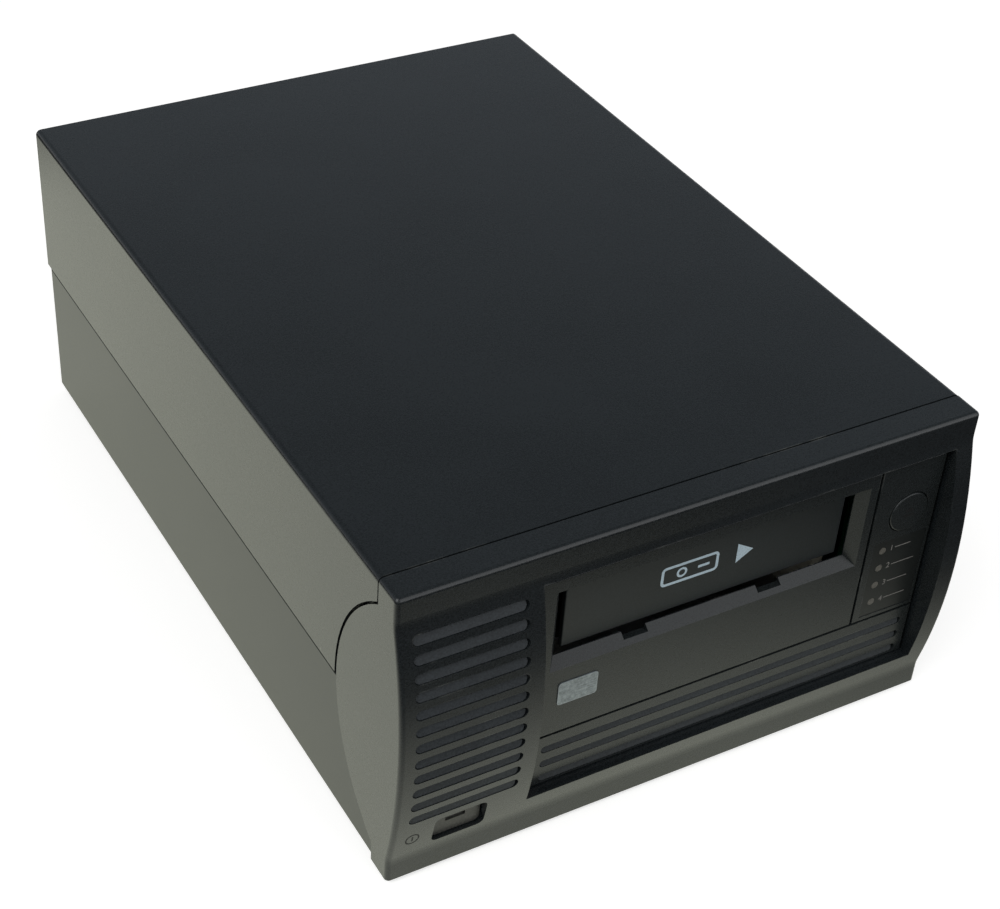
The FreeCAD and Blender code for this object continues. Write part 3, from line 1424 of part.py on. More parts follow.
def make_rear_panel():
    body = new_body("rear_panel_body")
    right = [
        ("base_inner - slip", "floor"),
        ("base_inner - slip", "seam_low - tongue_drop - tongue_wall - slip"),
        ("tongue_in - slip", "seam_low - tongue_drop - tongue_wall - slip"),
        ("tongue_in - slip", "seam + tongue_rise + slip"),
        ("tongue_out", "seam + tongue_rise + slip"),
        ("tongue_out", "ceiling"),
    ]
    left = [("-(%s)" % across, up) for across, up in reversed(right)]
    pad(body, "XZ", "panel_front", "panel_back", [right + left])
    flanges = [
        rect("-tongue_in + foot_radius", low, "tongue_in - foot_radius", low + " + panel_thick")
        for low in ("floor", "ceiling - panel_thick")
    ]
    pad(body, "XZ", "panel_front - panel_flange", "panel_front + panel_thick / 2", flanges)
    windows = [
        centred_rect("inlet_x", "inlet_z0", "(inlet_width + slip)", "(inlet_height + slip)"),
        centred_rect("selector_x", "selector_z0", "(selector_width + slip)", "(selector_height + slip)"),
    ]
    for _, up in port_heights():
        windows.append(centred_rect("port_x", up, "(port_width + slip)", "(port_height + slip)"))
    holes = [("fan_x", "fan_z0", "fan_bore")]
    for side in ("-", "+"):
        for rise in ("-", "+"):
            holes.append(("fan_x %s fan_hole_half" % side, "fan_z0 %s fan_hole_half" % rise,
                          "post_cap"))
        holes.append(("inlet_x %s inlet_screw_half" % side, "inlet_z0", "screw_radius + screw_play"))
    body.Tip = pocket(body, "XZ", "panel_front - slip", "panel_back + slip", windows, holes)
    keep("rear_panel", body)


def fan_corners():
    return [
        ("fan_x %s fan_hole_half" % side, "fan_z0 %s fan_hole_half" % rise)
        for side in ("-", "+")
        for rise in ("-", "+")
    ]


def make_fan():
    body = new_body("fan_frame_body")
    square = rounded_rect("fan_x - fan_side / 2", "fan_z0 - fan_side / 2", "fan_x + fan_side / 2",
                          "fan_z0 + fan_side / 2", "strut_width")
    holes = [corner + ("post_cap",) for corner in fan_corners()]
    pad(body, "XZ", "fan_front", "fan_back", [square], [("fan_x", "fan_z0", "fan_bore")] + holes)
    bars = [
        centred_rect("fan_x", "fan_z0", "(2 * fan_bore + strut_width)", "strut_width"),
    ]
    pad(body, "XZ", "fan_front", "fan_front + strut_deep", bars)
    uprights = [centred_rect("fan_x", "fan_z0", "strut_width", "(2 * fan_bore + strut_width)")]
    pad(body, "XZ", "fan_front", "fan_front + strut_deep", uprights)
    pad(body, "XZ", "fan_front", "fan_front + strut_deep", circles=[("fan_x", "fan_z0", "fan_hub")])
    body.Tip = pocket(body, "XZ", "fan_front - wall", "fan_front + strut_deep + wall",
                      circles=[("fan_x", "fan_z0", "plunger_radius + run_play")])
    keep("fan_frame", body)

    rotor = new_body("fan_rotor_body")
    length = "(fan_deep - strut_deep - 2 * slip - sheet)"
    pad(rotor, "XZ", "0", length, circles=[("0", "0", "fan_hub")])
    sections = []
    for station, reach, pitch in (("fan_hub - blade_sink", "blade_root_half", "blade_root_pitch"),
                                  ("fan_tip", "blade_tip_half", "blade_tip_pitch")):
        sections.append((station, [
            ("%s / 2 - %s" % (length, reach), "-%s - blade_thick / 2" % pitch),
            ("%s / 2 + %s" % (length, reach), "%s - blade_thick / 2" % pitch),
            ("%s / 2 + %s" % (length, reach), "%s + blade_thick / 2" % pitch),
            ("%s / 2 - %s" % (length, reach), "-%s + blade_thick / 2" % pitch),
        ]))
    blade = loft(rotor, "PartDesign::AdditiveLoft", "YZ", sections)
    ring_of_blades = rotor.newObject("PartDesign::PolarPattern", "fan_blade_ring")
    ring_of_blades.Originals = [blade]
    axis = [item for item in rotor.Origin.OriginFeatures if item.Role == "Y_Axis"][0]
    ring_of_blades.Axis = (axis, [""])
    ring_of_blades.Angle = 360
    bind(ring_of_blades, "Occurrences", "fan_blades")
    rotor.Tip = ring_of_blades
    rotor.Tip = pad(rotor, "XZ", "-(strut_deep)", "wall", circles=[("0", "0", "plunger_radius")])
    bind_place(rotor, ("fan_x", "fan_front + strut_deep + slip", "fan_z0"))
    keep("fan_rotor", rotor)

    guard = new_body("guard_body")
    guard_back = "panel_back + guard_thick"
    for count in range(1, int(value("guard_rings")) + 1):
        radius = "%d * guard_pitch" % count
        pad(guard, "XZ", "panel_back", guard_back,
            circles=[("fan_x", "fan_z0", radius + " + guard_wire"),
                     ("fan_x", "fan_z0", radius + " - guard_wire")])
    spoke = centred_rect("0", "0", "(fan_hole_half * sqrt(8))", "(2 * guard_wire)")
    spokes = []
    for angle in (45, -45):
        cross = new_body("guard_spoke")
        pad(cross, "XZ", "0", "guard_thick", [spoke])
        cross.Placement = FreeCAD.Placement(
            FreeCAD.Vector(), FreeCAD.Rotation(FreeCAD.Vector(0, 1, 0), angle))
        bind_place(cross, ("fan_x", "panel_back", "fan_z0"))
        spokes.append(cross)
    eyes = new_body("guard_eyes")
    for corner in fan_corners():
        pad(eyes, "XZ", "panel_back", guard_back, circles=[corner + ("post_shoulder + guard_wire",)])
    solid = fuse("guard_wires", [guard, eyes] + spokes)
    holes = [rod("guard_hole", "Y", (across, "panel_back - sheet", up), "screw_radius + screw_play",
                 "guard_thick + 2 * sheet") for across, up in fan_corners()]
    keep("fan_guard", cut("guard", solid, holes))
    screws = []
    for across, up in fan_corners():
        head_at = "panel_back + guard_thick"
        head = rod("fan_screw_head", "Y", (across, head_at, up), "post_shoulder", "sheet")
        shank = rod("fan_screw_shank", "Y", (across, "fan_back - screw_grip", up),
                    "screw_radius", "screw_grip + panel_thick + guard_thick")
        screws.append(fuse("fan_screw", [head, shank]))
    share("screws", group("fan_screw_group", screws))


def make_inlet():
    body = new_body("inlet_body")
    mouth = "panel_back + inlet_flange_thick"
    flange = centred_rect("inlet_x", "inlet_z0", "inlet_flange_width", "inlet_flange_height")
    ears = [("inlet_x %s inlet_screw_half" % side, "inlet_z0", "screw_radius + screw_play")
            for side in ("-", "+")]
    pad(body, "XZ", "panel_back", mouth, [flange], ears)
    case = centred_rect("inlet_x", "inlet_z0", "inlet_width", "inlet_height")
    pad(body, "XZ", "panel_back - inlet_deep", "panel_back + inlet_flange_thick / 2", [case])
    cavity = centred_rect("inlet_x", "inlet_z0", "inlet_cavity_width", "inlet_cavity_height")
    body.Tip = pocket(body, "XZ", mouth + " - inlet_cavity_deep", mouth + " + wall", [cavity])
    keep("power_inlet", body)
    pins = []
    start = mouth + " - inlet_cavity_deep"
    for across, rise in (("inlet_x - inlet_pin_half", "0"), ("inlet_x + inlet_pin_half", "0"),
                         ("inlet_x", "inlet_ground_rise")):
        pins.append(box(
            "inlet_pin",
            ("%s - inlet_pin_thick / 2" % across, start, "inlet_z0 + %s - inlet_pin_width / 2" % rise),
            ("%s + inlet_pin_thick / 2" % across, start + " + inlet_pin_long",
             "inlet_z0 + %s + inlet_pin_width / 2" % rise),
        ))
    keep("inlet_pins", group("inlet_pin_group", pins))
    screws = []
    for side in ("-", "+"):
        across = "inlet_x %s inlet_screw_half" % side
        head = rod("inlet_screw_head", "Y", (across, mouth, "inlet_z0"), "screw_head", "sheet")
        shank = rod("inlet_screw_shank", "Y", (across, "panel_front - screw_head_long", "inlet_z0"),
                    "screw_radius", "screw_head_long + panel_thick + inlet_flange_thick")
        screws.append(fuse("inlet_screw", [head, shank]))
    share("screws", group("inlet_screw_group", screws))


def trapezoid(across, up, wide, tall):
    """The keyed outline of a data connector: wider along its top edge."""
    return [
        ("%s - %s / 2 + %s / 4" % (across, wide, tall), "%s - %s / 2" % (up, tall)),
        ("%s + %s / 2 - %s / 4" % (across, wide, tall), "%s - %s / 2" % (up, tall)),
        ("%s + %s / 2" % (across, wide), "%s + %s / 2" % (up, tall)),
        ("%s - %s / 2" % (across, wide), "%s + %s / 2" % (up, tall)),
    ]


def make_ports():
    jacks = []
    for name, up in port_heights():
        body = new_body(name + "_port_body")
        flange = centred_rect("port_x", up, "port_flange_width", "port_flange_height")
        bores = [("port_x %s port_jack_half" % side, up, "jack_bore") for side in ("-", "+")]
        pad(body, "XZ", "panel_front - port_flange_thick", "panel_front", [flange], bores)
        block = centred_rect("port_x", up, "port_width", "port_height")
        pad(body, "XZ", "panel_front - port_flange_thick - port_body_deep",
            "panel_front - port_flange_thick / 2", [block])
        mouth = "panel_back + port_deep"
        pad(body, "XZ", "panel_front - port_flange_thick / 2", mouth,
            [trapezoid("port_x", up, "port_width", "port_height")])
        inner = trapezoid("port_x", up, "(port_width - 2 * port_shell)", "(port_height - 2 * port_shell)")
        tongue = centred_rect("port_x", up, "(port_width - 8 * port_shell)", "(port_height / 3)")
        body.Tip = pocket(body, "XZ", "panel_back", mouth + " + wall", [inner, tongue])
        share("data_ports", body)
        for side in ("-", "+"):
            spot = ("port_x %s port_jack_half" % side, "panel_back", up)
            nut = rod("jack_nut", "Y", spot, "jack_radius", "jack_long")
            bore = rod("jack_nut_bore", "Y", spot, "jack_bore", "jack_long")
            jacks.append(cut("jack", nut, [bore]))
    keep("jack_nuts", group("jack_group", jacks))


def make_selector():
    body = new_body("selector_body")
    mouth = "panel_back + board_thick"
    case = centred_rect("selector_x", "selector_z0", "selector_width", "selector_height")
    pad(body, "XZ", mouth + " - selector_deep", mouth, [case])
    pockets = [centred_rect("selector_x", "selector_z0", "selector_window", "selector_window")]
    for side in ("-", "+"):
        pockets.append(centred_rect("selector_x", "(selector_z0 %s selector_key_half)" % side,
                                    "(selector_key_side + slip)", "(selector_key_side + slip)"))
    floor = mouth + " - selector_window - sheet"
    pocket(body, "XZ", floor, mouth + " + wall", pockets)
    axle_y = mouth + " - selector_window / 2 - sheet / 2"
    body.Tip = pocket(body, "YZ", "selector_x - selector_width", "selector_x + selector_width",
                      circles=[(axle_y, "selector_z0", "pin_radius + pin_play")])
    keep("id_selector", body)
    drum = rod("selector_drum", "X", ("selector_x - selector_window / 2 + slip", axle_y, "selector_z0"),
               "selector_window / 2 - slip", "selector_window - 2 * slip")
    axle = rod("selector_axle", "X", ("selector_x - selector_width / 2", axle_y, "selector_z0"),
               "pin_radius", "selector_width")
    keep("id_wheel", fuse("id_wheel_drum", [drum, axle]))
    for name, side in (("down", "-"), ("up", "+")):
        up = "(selector_z0 %s selector_key_half)" % side
        key = box("selector_key_" + name,
                  ("selector_x - selector_key_side / 2", floor + " + selector_travel + slip",
                   up + " - selector_key_side / 2"),
                  ("selector_x + selector_key_side / 2", mouth + " + sheet",
                   up + " + selector_key_side / 2"))
        keep("id_key_" + name, key)


def make_wiring():
    half = "ribbon_width / 2"
    middle = "(board_high + connector_tall / 2)"
    port_rear = "panel_front - port_flange_thick - port_body_deep"
    upper = "base + port_low_z + port_pitch"
    ribbon = new_body("ribbon_body")
    bend = port_rear + " - connector_deep"
    outline = [
        ("chassis_back", middle),
        (bend, middle),
        (bend, upper),
        (port_rear, upper),
        (port_rear, upper + " + ribbon_thick"),
        (bend + " - ribbon_thick", upper + " + ribbon_thick"),
        (bend + " - ribbon_thick", middle + " + ribbon_thick"),
        ("chassis_back", middle + " + ribbon_thick"),
    ]
    pad(ribbon, "YZ", "port_x - connector_long / 2", "face_mid + " + half, [outline])
    share("inner_wiring", ribbon)
    rear_end = "brow + supply_front + supply_long"
    leads = []
    for side in ("-", "+"):
        spot = ("inlet_x %s loom_radius * 2" % side, rear_end, "inlet_z0")
        leads.append(rod("mains_lead", "Y", spot, "loom_radius",
                         "panel_back - inlet_deep - (%s)" % rear_end))
    share("inner_wiring", group("inlet_lead_group", leads))


# ---------------------------------------------------------------- build, check, write

BUILDERS = (
    make_top_cover, make_base_tray, make_cover_screws, make_feet, make_front_bezel,
    make_power_button, make_power_lens, make_power_switch, make_faceplate, make_face_trim,
    make_eject_button, make_panel_board, make_door, make_chassis, make_drive_board, make_deck,
    make_tray, make_loader, make_reels, make_tape_path, make_carriers, make_supply,
    make_rear_panel, make_fan, make_inlet, make_ports, make_selector, make_wiring,
)
CUTTERS = ("PartDesign::Pocket", "PartDesign::SubtractiveLoft")


def check_model():
    for item in doc.Objects:
        if "Invalid" in item.State or "Error" in item.State:
            raise RuntimeError("%s failed: %s" % (item.Name, item.State))
        if item.TypeId in CUTTERS and item.BaseFeature.Shape.Volume - item.Shape.Volume < 0.001:
            raise RuntimeError("%s cuts nothing" % item.Name)
    for item in nodes:
        if item.Shape.isNull() or not item.Shape.isValid():
            raise RuntimeError("%s has no sound shape" % item.Label)


fill_sheet()
for build in BUILDERS:
    build()
for label, items in shared.items():
    keep(label, group(label + "_set", items))
doc.recompute()
check_model()
os.makedirs("parts", exist_ok=True)
for item in nodes:
    item.Shape.exportStep(os.path.join("parts", item.Label + ".step"))
    print(item.Label, len(item.Shape.Solids), round(item.Shape.Volume))
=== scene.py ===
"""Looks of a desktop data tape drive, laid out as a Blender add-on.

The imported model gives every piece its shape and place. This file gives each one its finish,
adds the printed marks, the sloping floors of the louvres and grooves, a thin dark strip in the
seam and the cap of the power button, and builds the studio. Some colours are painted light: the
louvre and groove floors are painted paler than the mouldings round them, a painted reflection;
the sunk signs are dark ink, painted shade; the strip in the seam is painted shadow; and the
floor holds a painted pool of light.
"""

import math

import bmesh
import bpy
from bpy.props import FloatProperty, FloatVectorProperty, PointerProperty
from bpy.types import Operator, Panel, PropertyGroup
from mathutils import Matrix, Vector
from mathutils.bvhtree import BVHTree


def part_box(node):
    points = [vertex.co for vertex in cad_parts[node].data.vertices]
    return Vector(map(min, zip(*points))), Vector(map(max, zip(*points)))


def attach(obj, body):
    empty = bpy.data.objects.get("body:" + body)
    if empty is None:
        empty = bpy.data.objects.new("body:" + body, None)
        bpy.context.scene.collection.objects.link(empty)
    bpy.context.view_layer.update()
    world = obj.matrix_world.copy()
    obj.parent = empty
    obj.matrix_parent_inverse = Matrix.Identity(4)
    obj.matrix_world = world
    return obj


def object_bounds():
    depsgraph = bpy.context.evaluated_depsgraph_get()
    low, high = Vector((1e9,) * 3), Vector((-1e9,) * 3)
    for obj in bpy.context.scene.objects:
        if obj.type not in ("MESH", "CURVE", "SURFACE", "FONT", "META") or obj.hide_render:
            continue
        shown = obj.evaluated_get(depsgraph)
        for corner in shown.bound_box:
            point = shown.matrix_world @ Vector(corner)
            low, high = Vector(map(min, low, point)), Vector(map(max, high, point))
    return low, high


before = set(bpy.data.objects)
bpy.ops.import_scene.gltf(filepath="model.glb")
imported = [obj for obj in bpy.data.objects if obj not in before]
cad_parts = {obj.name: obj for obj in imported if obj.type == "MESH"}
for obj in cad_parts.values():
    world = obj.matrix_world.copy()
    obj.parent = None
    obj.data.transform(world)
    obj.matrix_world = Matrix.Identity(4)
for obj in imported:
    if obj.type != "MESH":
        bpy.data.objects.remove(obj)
CAD_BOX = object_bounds()

bl_info = {
    "name": "Data Tape Drive",
    "version": (1, 0, 0),
    "blender": (4, 5, 0),
    "location": "View3D > Sidebar > Tape Drive",
    "description": "Finishes, printed marks and a plain studio for a desktop data tape drive",
    "category": "Object",
}

MM = 0.001


# ---------------------------------------------------------------- settings

def shade(red, green, blue):
    """Display values from 0 to 255 as the linear values that Blender works in."""
    linear = []
    for channel in (red, green, blue):
        share = channel / 255
        linear.append(share / 12.92 if share < 0.04 else ((share + 0.055) / 1.055) ** 2.4)
    return tuple(linear)


def colour_setting(name, description, red, green, blue):
    """A colour that the user may change."""
    return FloatVectorProperty(name=name, description=description, subtype="COLOR", size=3,
                               min=0.0, max=1.0, default=shade(red, green, blue))


def number_setting(name, description, default, **more):
    """A number that the user may change."""
    return FloatProperty(name=name, description=description, default=default, min=0.0, **more)


def length_setting(name, description, millimetres):
    """A length that the user may change, given here in millimetres and kept in metres."""
    return number_setting(name, description, millimetres * MM, subtype="DISTANCE", unit="LENGTH",
                          precision=5)


def share_setting(name, description, default):
    """An amount from 0 to 1 that the user may change."""
    return number_setting(name, description, default, subtype="FACTOR", max=1.0)


def power_setting(name, description, watts):
    """The power of a lamp that the user may change."""
    return number_setting(name, description, watts, subtype="POWER", unit="POWER")


class TAPEDRIVE_PG_finish(PropertyGroup):
    """Colours and textures of the pieces."""
    shell: colour_setting("Shell", "Top cover and base tray", 23, 27, 29)
    bezel: colour_setting("Bezel", "Front bezel moulding", 27, 31, 33)
    drive: colour_setting("Drive face", "Faceplate of the drive", 31, 35, 36)
    door: colour_setting("Door", "Cartridge door", 27, 32, 34)
    button: colour_setting("Power button", "Power button moulding", 62, 62, 59)
    label: colour_setting("Label film", "Film behind the lamps", 26, 29, 29)
    # Painted reflection: the louvre and groove floors are paler than the mouldings round them, for
    # the light their slopes catch.
    louvre_painted_light: colour_setting("Louvre floors", "Sloping floors of the louvres", 49, 53, 56)
    groove_painted_light: colour_setting("Groove floors", "Sloping floors of the grooves", 47, 51, 53)
    lens: colour_setting("Lamp lenses", "Frosted ends of the light pipes", 96, 94, 88)
    badge: colour_setting("Badge", "Blank badge plate", 140, 148, 153)
    door_print: colour_setting("Door print", "Pale print on the cartridge door", 196, 216, 226)
    legend: colour_setting("Legend print", "Print beside the lamps", 132, 130, 126)
    # Painted shade: this dark colour stands in for the shade inside the sunk signs and in the seam.
    painted_shade_colour: colour_setting("Dark marks", "Sunk signs on the buttons and bezel", 14, 15, 16)
    wear: colour_setting("Worn edges", "Edges rubbed pale by handling", 120, 122, 118)
    grain: length_setting("Grain", "Width of the moulded grain", 0.55)
    wear_width: length_setting("Wear width", "How far rubbing reaches from an edge", 0.8)
    wear_amount: share_setting("Wear amount", "How much of the edges is rubbed", 0.45)
    specks: share_setting("Specks", "How many pale specks of dust there are", 0.3)


class TAPEDRIVE_PG_marks(PropertyGroup):
    """Sizes of the printed and sunk marks and of the power button's cap."""
    ink: length_setting("Ink thickness", "How far print stands proud", 0.03)
    symbol: length_setting("Sign radius", "Radius of the power sign", 2.2)
    stroke: length_setting("Sign stroke", "Line width of the signs", 0.5)
    rule: length_setting("Rule width", "Line width of the rules beside the lamps", 0.3)
    digit: length_setting("Digit height", "Height of the lamp numbers", 2.3)
    cap_rise: length_setting("Cap rise", "Thickness of the power button's raised cap", 0.9)
    cap_inset: length_setting("Cap inset", "How far the cap stays inside the button's edge", 0.15)
    cap_round: length_setting("Cap round", "Corner radius of the cap", 2.0)
    door_mark: length_setting("Door mark width", "Width of the print on the door", 34.0)
    door_mark_tall: length_setting("Door mark height", "Height of the print on the door", 7.6)


class TAPEDRIVE_PG_louvres(PropertyGroup):
    """Sloping floors inside the louvres and grooves, and the dark strip in the seam, which is painted
    shadow.
    """
    louvre_rise: length_setting("Louvre rise", "How far a louvre's floor slopes out", 0.95)
    groove_rise: length_setting("Groove rise", "How far a groove's floor slopes out", 1.32)
    seat: length_setting("Seat", "How far a floor stands off the recess behind it", 0.02)
    margin: length_setting("Margin", "Dark channel left round a floor", 0.2)
    end_margin: length_setting("End margin", "Channel left at a floor's right end", 0.7)
    # Painted shadow: height of the dark strip that stands in for the shade in the seam.
    seam_shadow_height: length_setting("Gasket", "Height of the gasket that shows at the seam", 0.8)


class TAPEDRIVE_PG_stage(PropertyGroup):
    """Floor, light and camera."""
    floor_colour: colour_setting("Floor", "Colour of the floor", 226, 226, 224)
    # Painted shade: the floor's colour away from the lit pool.
    far_floor_painted_shade: colour_setting("Far floor", "Colour of the floor away from the object", 70, 70, 70)
    floor_size: length_setting("Floor size", "Side of the square floor", 40000.0)
    pool: length_setting("Lit pool", "Reach of the brightly lit part of the floor", 222.0)
    pool_edge: length_setting("Pool edge", "Where the lit part has faded out", 374.0)
    pool_middle: FloatVectorProperty(name="Pool middle", description="Middle of the lit part",
                                     subtype="XYZ", size=3, default=(-0.06, 0.085, 0.0))
    glow: share_setting("Floor gloss", "Extra brightness of the lit pool as gloss sees it", 0.6)
    sky: number_setting("Sky", "Strength of the even light from all round", 0.35)
    ceiling: share_setting("Ceiling", "Brightness that gloss sees high above the horizon", 0.15)
    key: power_setting("Key lamp", "Power of the large lamp at the left", 24.0)
    front: power_setting("Front lamp", "Power of the broad lamp in front", 9.0)
    lens: number_setting("Lens", "Focal length in millimetres", 72.245)


# ---------------------------------------------------------------- node trees

def scaled(colour, factor):
    """A colour made brighter or darker."""
    return tuple(min(1.0, channel * factor) for channel in colour)


def socket_name(word):
    """A keyword such as base_color as the name of a socket, Base Color."""
    return word.replace("_", " ").title()


class Graph:
    """A shader node tree under construction."""

    def __init__(self, tree):
        self.tree = tree

    def add(self, kind, inputs=None, **settings):
        """A new node; inputs holds values or sockets by input name, settings its own properties."""
        node = self.tree.nodes.new("ShaderNode" + kind)
        for name, setting in settings.items():
            setattr(node, name, setting)
        for name, given in (inputs or {}).items():
            self.feed(node.inputs[name], given)
        return node

    def feed(self, socket, given):
        """Links a socket to an input, or sets the input to a value."""
        if isinstance(given, bpy.types.NodeSocket):
            self.tree.links.new(given, socket)
        else:
            socket.default_value = given

    def math(self, operation, *terms):
        """The result of a Math node on one or two values or sockets."""
        node = self.add("Math", operation=operation)
        for socket, term in zip(node.inputs, terms):
            self.feed(socket, term)
        return node.outputs[0]

    def blend(self, first, share, second):
        """Two values added up, the first with a share of it and the second with the rest."""
        return self.math("ADD", self.math("MULTIPLY", first, share),
                         self.math("MULTIPLY", second, 1 - share))

    def step(self, given, low, high, start=0.0, end=1.0):
        """A smooth change from start to end while the input runs from low to high."""
        node = self.add("MapRange", {"Value": given, "From Min": low, "From Max": high,
                                     "To Min": start, "To Max": end},
                        interpolation_type="SMOOTHSTEP")
        return node.outputs["Result"]

    def mix(self, share, first, second):
        """Two colours mixed by a share."""
        node = self.add("Mix", data_type="RGBA")
        for index, given in ((0, share), (6, first), (7, second)):
            self.feed(node.inputs[index], given + (1.0,) if isinstance(given, tuple) else given)
        return node.outputs[2]

    def shades(self, share, colour, low, high):
        """A colour between a darker and a brighter shade of itself."""
        return self.mix(share, scaled(colour, low), scaled(colour, high))

    def place(self, stretch=(1.0, 1.0, 1.0), turn=0.0):
        """Object coordinates, stretched and turned about Z."""
        where = self.add("TexCoord").outputs["Object"]
        return self.add("Mapping", {"Vector": where, "Scale": stretch,
                                    "Rotation": (0.0, 0.0, turn)}).outputs["Vector"]

    def noise(self, where, size, detail=3.0, roughness=0.6):
        """Cloudy noise whose blotches are about size metres across."""
        scale = self.math("DIVIDE", 1.0, size)
        return self.add("TexNoise", {"Vector": where, "Scale": scale, "Detail": detail,
                                     "Roughness": roughness}).outputs["Fac"]

    def cells(self, where, scale, **settings):
        """The outputs of a Voronoi texture."""
        return self.add("TexVoronoi", {"Vector": where, "Scale": scale}, **settings).outputs

    def parts(self, colour):
        """The channels of a colour."""
        return self.add("SeparateColor", {"Color": colour}).outputs

    def bump(self, height, depth, strength=1.0):
        """A Bump node's normal for a height between 0 and 1, depth metres deep."""
        return self.add("Bump", {"Height": height, "Distance": depth,
                                 "Strength": strength}).outputs["Normal"]

    def effect(self, name, **values):
        """A shared effect placed with its own values; it is built on first use."""
        node = self.add("Group")
        node.node_tree = bpy.data.node_groups.get(name) or EFFECTS[name]()
        for word, given in values.items():
            self.feed(node.inputs[socket_name(word)], given)
        return node.outputs


class Finish(Graph):
    """A material under construction; constants are set on its Principled shader itself."""

    def __init__(self, name, roughness, specular=0.5, metallic=0.0):
        self.material = bpy.data.materials.new(name)
        self.material.use_nodes = True
        super().__init__(self.material.node_tree)
        self.shader = self.tree.nodes["Principled BSDF"]
        self.paint(roughness=roughness, specular_ior_level=specular, metallic=metallic)

    def paint(self, **given):
        """Feeds the shader's sockets by keyword and gives the material back."""
        for word, value in given.items():
            self.feed(self.shader.inputs[SHADER_SOCKETS.get(word, socket_name(word))], value)
        return self.material

    def uneven(self, given, low, high, middle, less, more):
        """A roughness that moves about its middle with a texture."""
        return self.step(given, low, high, middle - less, middle + more)


SHADER_SOCKETS = {"specular_ior_level": "Specular IOR Level"}


def new_group(name, inputs, output):
    """A shared effect: its graph, its input sockets by name and a function that ends it."""
    tree = bpy.data.node_groups.new(name, "ShaderNodeTree")
    for label, default in inputs.items():
        socket = tree.interface.new_socket(label, in_out="INPUT", socket_type="NodeSocketFloat")
        socket.default_value = default
    for label in output:
        tree.interface.new_socket(label, in_out="OUTPUT", socket_type="NodeSocketFloat")
    graph = Graph(tree)
    given = tree.nodes.new("NodeGroupInput").outputs
    sink = tree.nodes.new("NodeGroupOutput").inputs

    def close(*results):
        for socket, result in zip(sink, results):
            graph.feed(socket, result)
        return tree
    return graph, given, close


def grain_group():
    """Fine grain of a moulded or painted skin, and a slow drift of its tone."""
    graph, given, close = new_group("Grain", {"Size": 0.0005, "Drift": 0.06}, ["Height", "Tone"])
    where = graph.place()
    fine = graph.noise(where, given["Size"], 2.0, 0.5)
    pits = graph.cells(where, graph.math("DIVIDE", 0.8, given["Size"]))["Distance"]
    drift = graph.noise(where, given["Drift"], 3.0, 0.55)
    return close(graph.blend(fine, 0.6, pits), graph.blend(fine, 0.7, drift))


def wear_group():
    """Where handling has rubbed the edges, broken up so that it never reads as an outline."""
    graph, given, close = new_group("Edge Wear", {"Width": 0.0008, "Amount": 0.5}, ["Mask"])
    rounded = graph.add("Bevel", {"Radius": given["Width"]}, samples=6).outputs["Normal"]
    flat = graph.add("NewGeometry").outputs["Normal"]
    dot = graph.add("VectorMath", {0: rounded, 1: flat}, operation="DOT_PRODUCT").outputs["Value"]
    edge = graph.step(graph.math("SUBTRACT", 1.0, dot), 0.015, 0.14)
    patches = graph.noise(graph.place(), 0.018, 4.0, 0.7)
    low = graph.math("SUBTRACT", 0.95, given["Amount"])
    rubbed = graph.step(patches, low, graph.math("ADD", low, 0.25))
    return close(graph.math("MULTIPLY", edge, rubbed))


def speck_group():
    """Sparse pale specks of dust and lint."""
    graph, given, close = new_group("Specks", {"Spacing": 0.02, "Size": 0.02, "Amount": 0.3},
                                    ["Mask"])
    cells = graph.cells(graph.place(), graph.math("DIVIDE", 1.0, given["Spacing"]))
    parts = graph.parts(cells["Color"])
    reach = graph.math("MULTIPLY", given["Size"], parts["Red"])
    inside = graph.math("LESS_THAN", cells["Distance"], reach)
    chosen = graph.math("LESS_THAN", parts["Green"], given["Amount"])
    return close(graph.math("MULTIPLY", inside, chosen))


def scratch_group():
    """A few hairline scratches in two directions."""
    graph, given, close = new_group("Scratches", {"Length": 0.05, "Amount": 0.4}, ["Mask"])
    lines = []
    for turn, stretch in ((0.5, (1.0, 14.0, 1.0)), (-1.1, (1.0, 18.0, 1.0))):
        cells = graph.cells(graph.place(stretch, turn), graph.math("DIVIDE", 1.0, given["Length"]),
                            feature="DISTANCE_TO_EDGE")
        lines.append(graph.math("LESS_THAN", cells["Distance"], 0.006))
    patches = graph.noise(graph.place(), 0.03, 2.0, 0.5)
    low = graph.math("SUBTRACT", 1.0, given["Amount"])
    shown = graph.step(patches, low, graph.math("ADD", low, 0.1))
    return close(graph.math("MULTIPLY", graph.math("MAXIMUM", *lines), shown))


EFFECTS = {"Grain": grain_group, "Edge Wear": wear_group, "Specks": speck_group,
           "Scratches": scratch_group}


# ---------------------------------------------------------------- finishes

def moulded_plastic(name, colour, settings, roughness=0.28, specular=0.5, grain=1.0, depth=0.03,
                    wear=1.0, specks=1.0, contrast=0.3):
    """Grained moulding: mottled tone, rubbed edges, a few specks and uneven sheen."""
    skin = Finish(name, roughness, specular)
    grained = skin.effect("Grain", size=settings.grain * grain)
    tone = skin.step(grained["Tone"], 0.35, 0.65)
    body = skin.shades(tone, colour, 1 - contrast, 1 + contrast)
    if wear:
        mask = skin.effect("Edge Wear", width=settings.wear_width,
                           amount=settings.wear_amount * wear)["Mask"]
        body = skin.mix(skin.math("MULTIPLY", mask, 0.55), body, tuple(settings.wear))
    if specks:
        dust = skin.effect("Specks", amount=settings.specks * specks)["Mask"]
        body = skin.mix(skin.math("MULTIPLY", dust, 0.6), body, shade(150, 150, 146))
    return skin.paint(base_color=body,
                      roughness=skin.uneven(grained["Tone"], 0.3, 0.7, roughness, 0.02, 0.02),
                      normal=skin.bump(grained["Height"], depth * MM, 0.6))


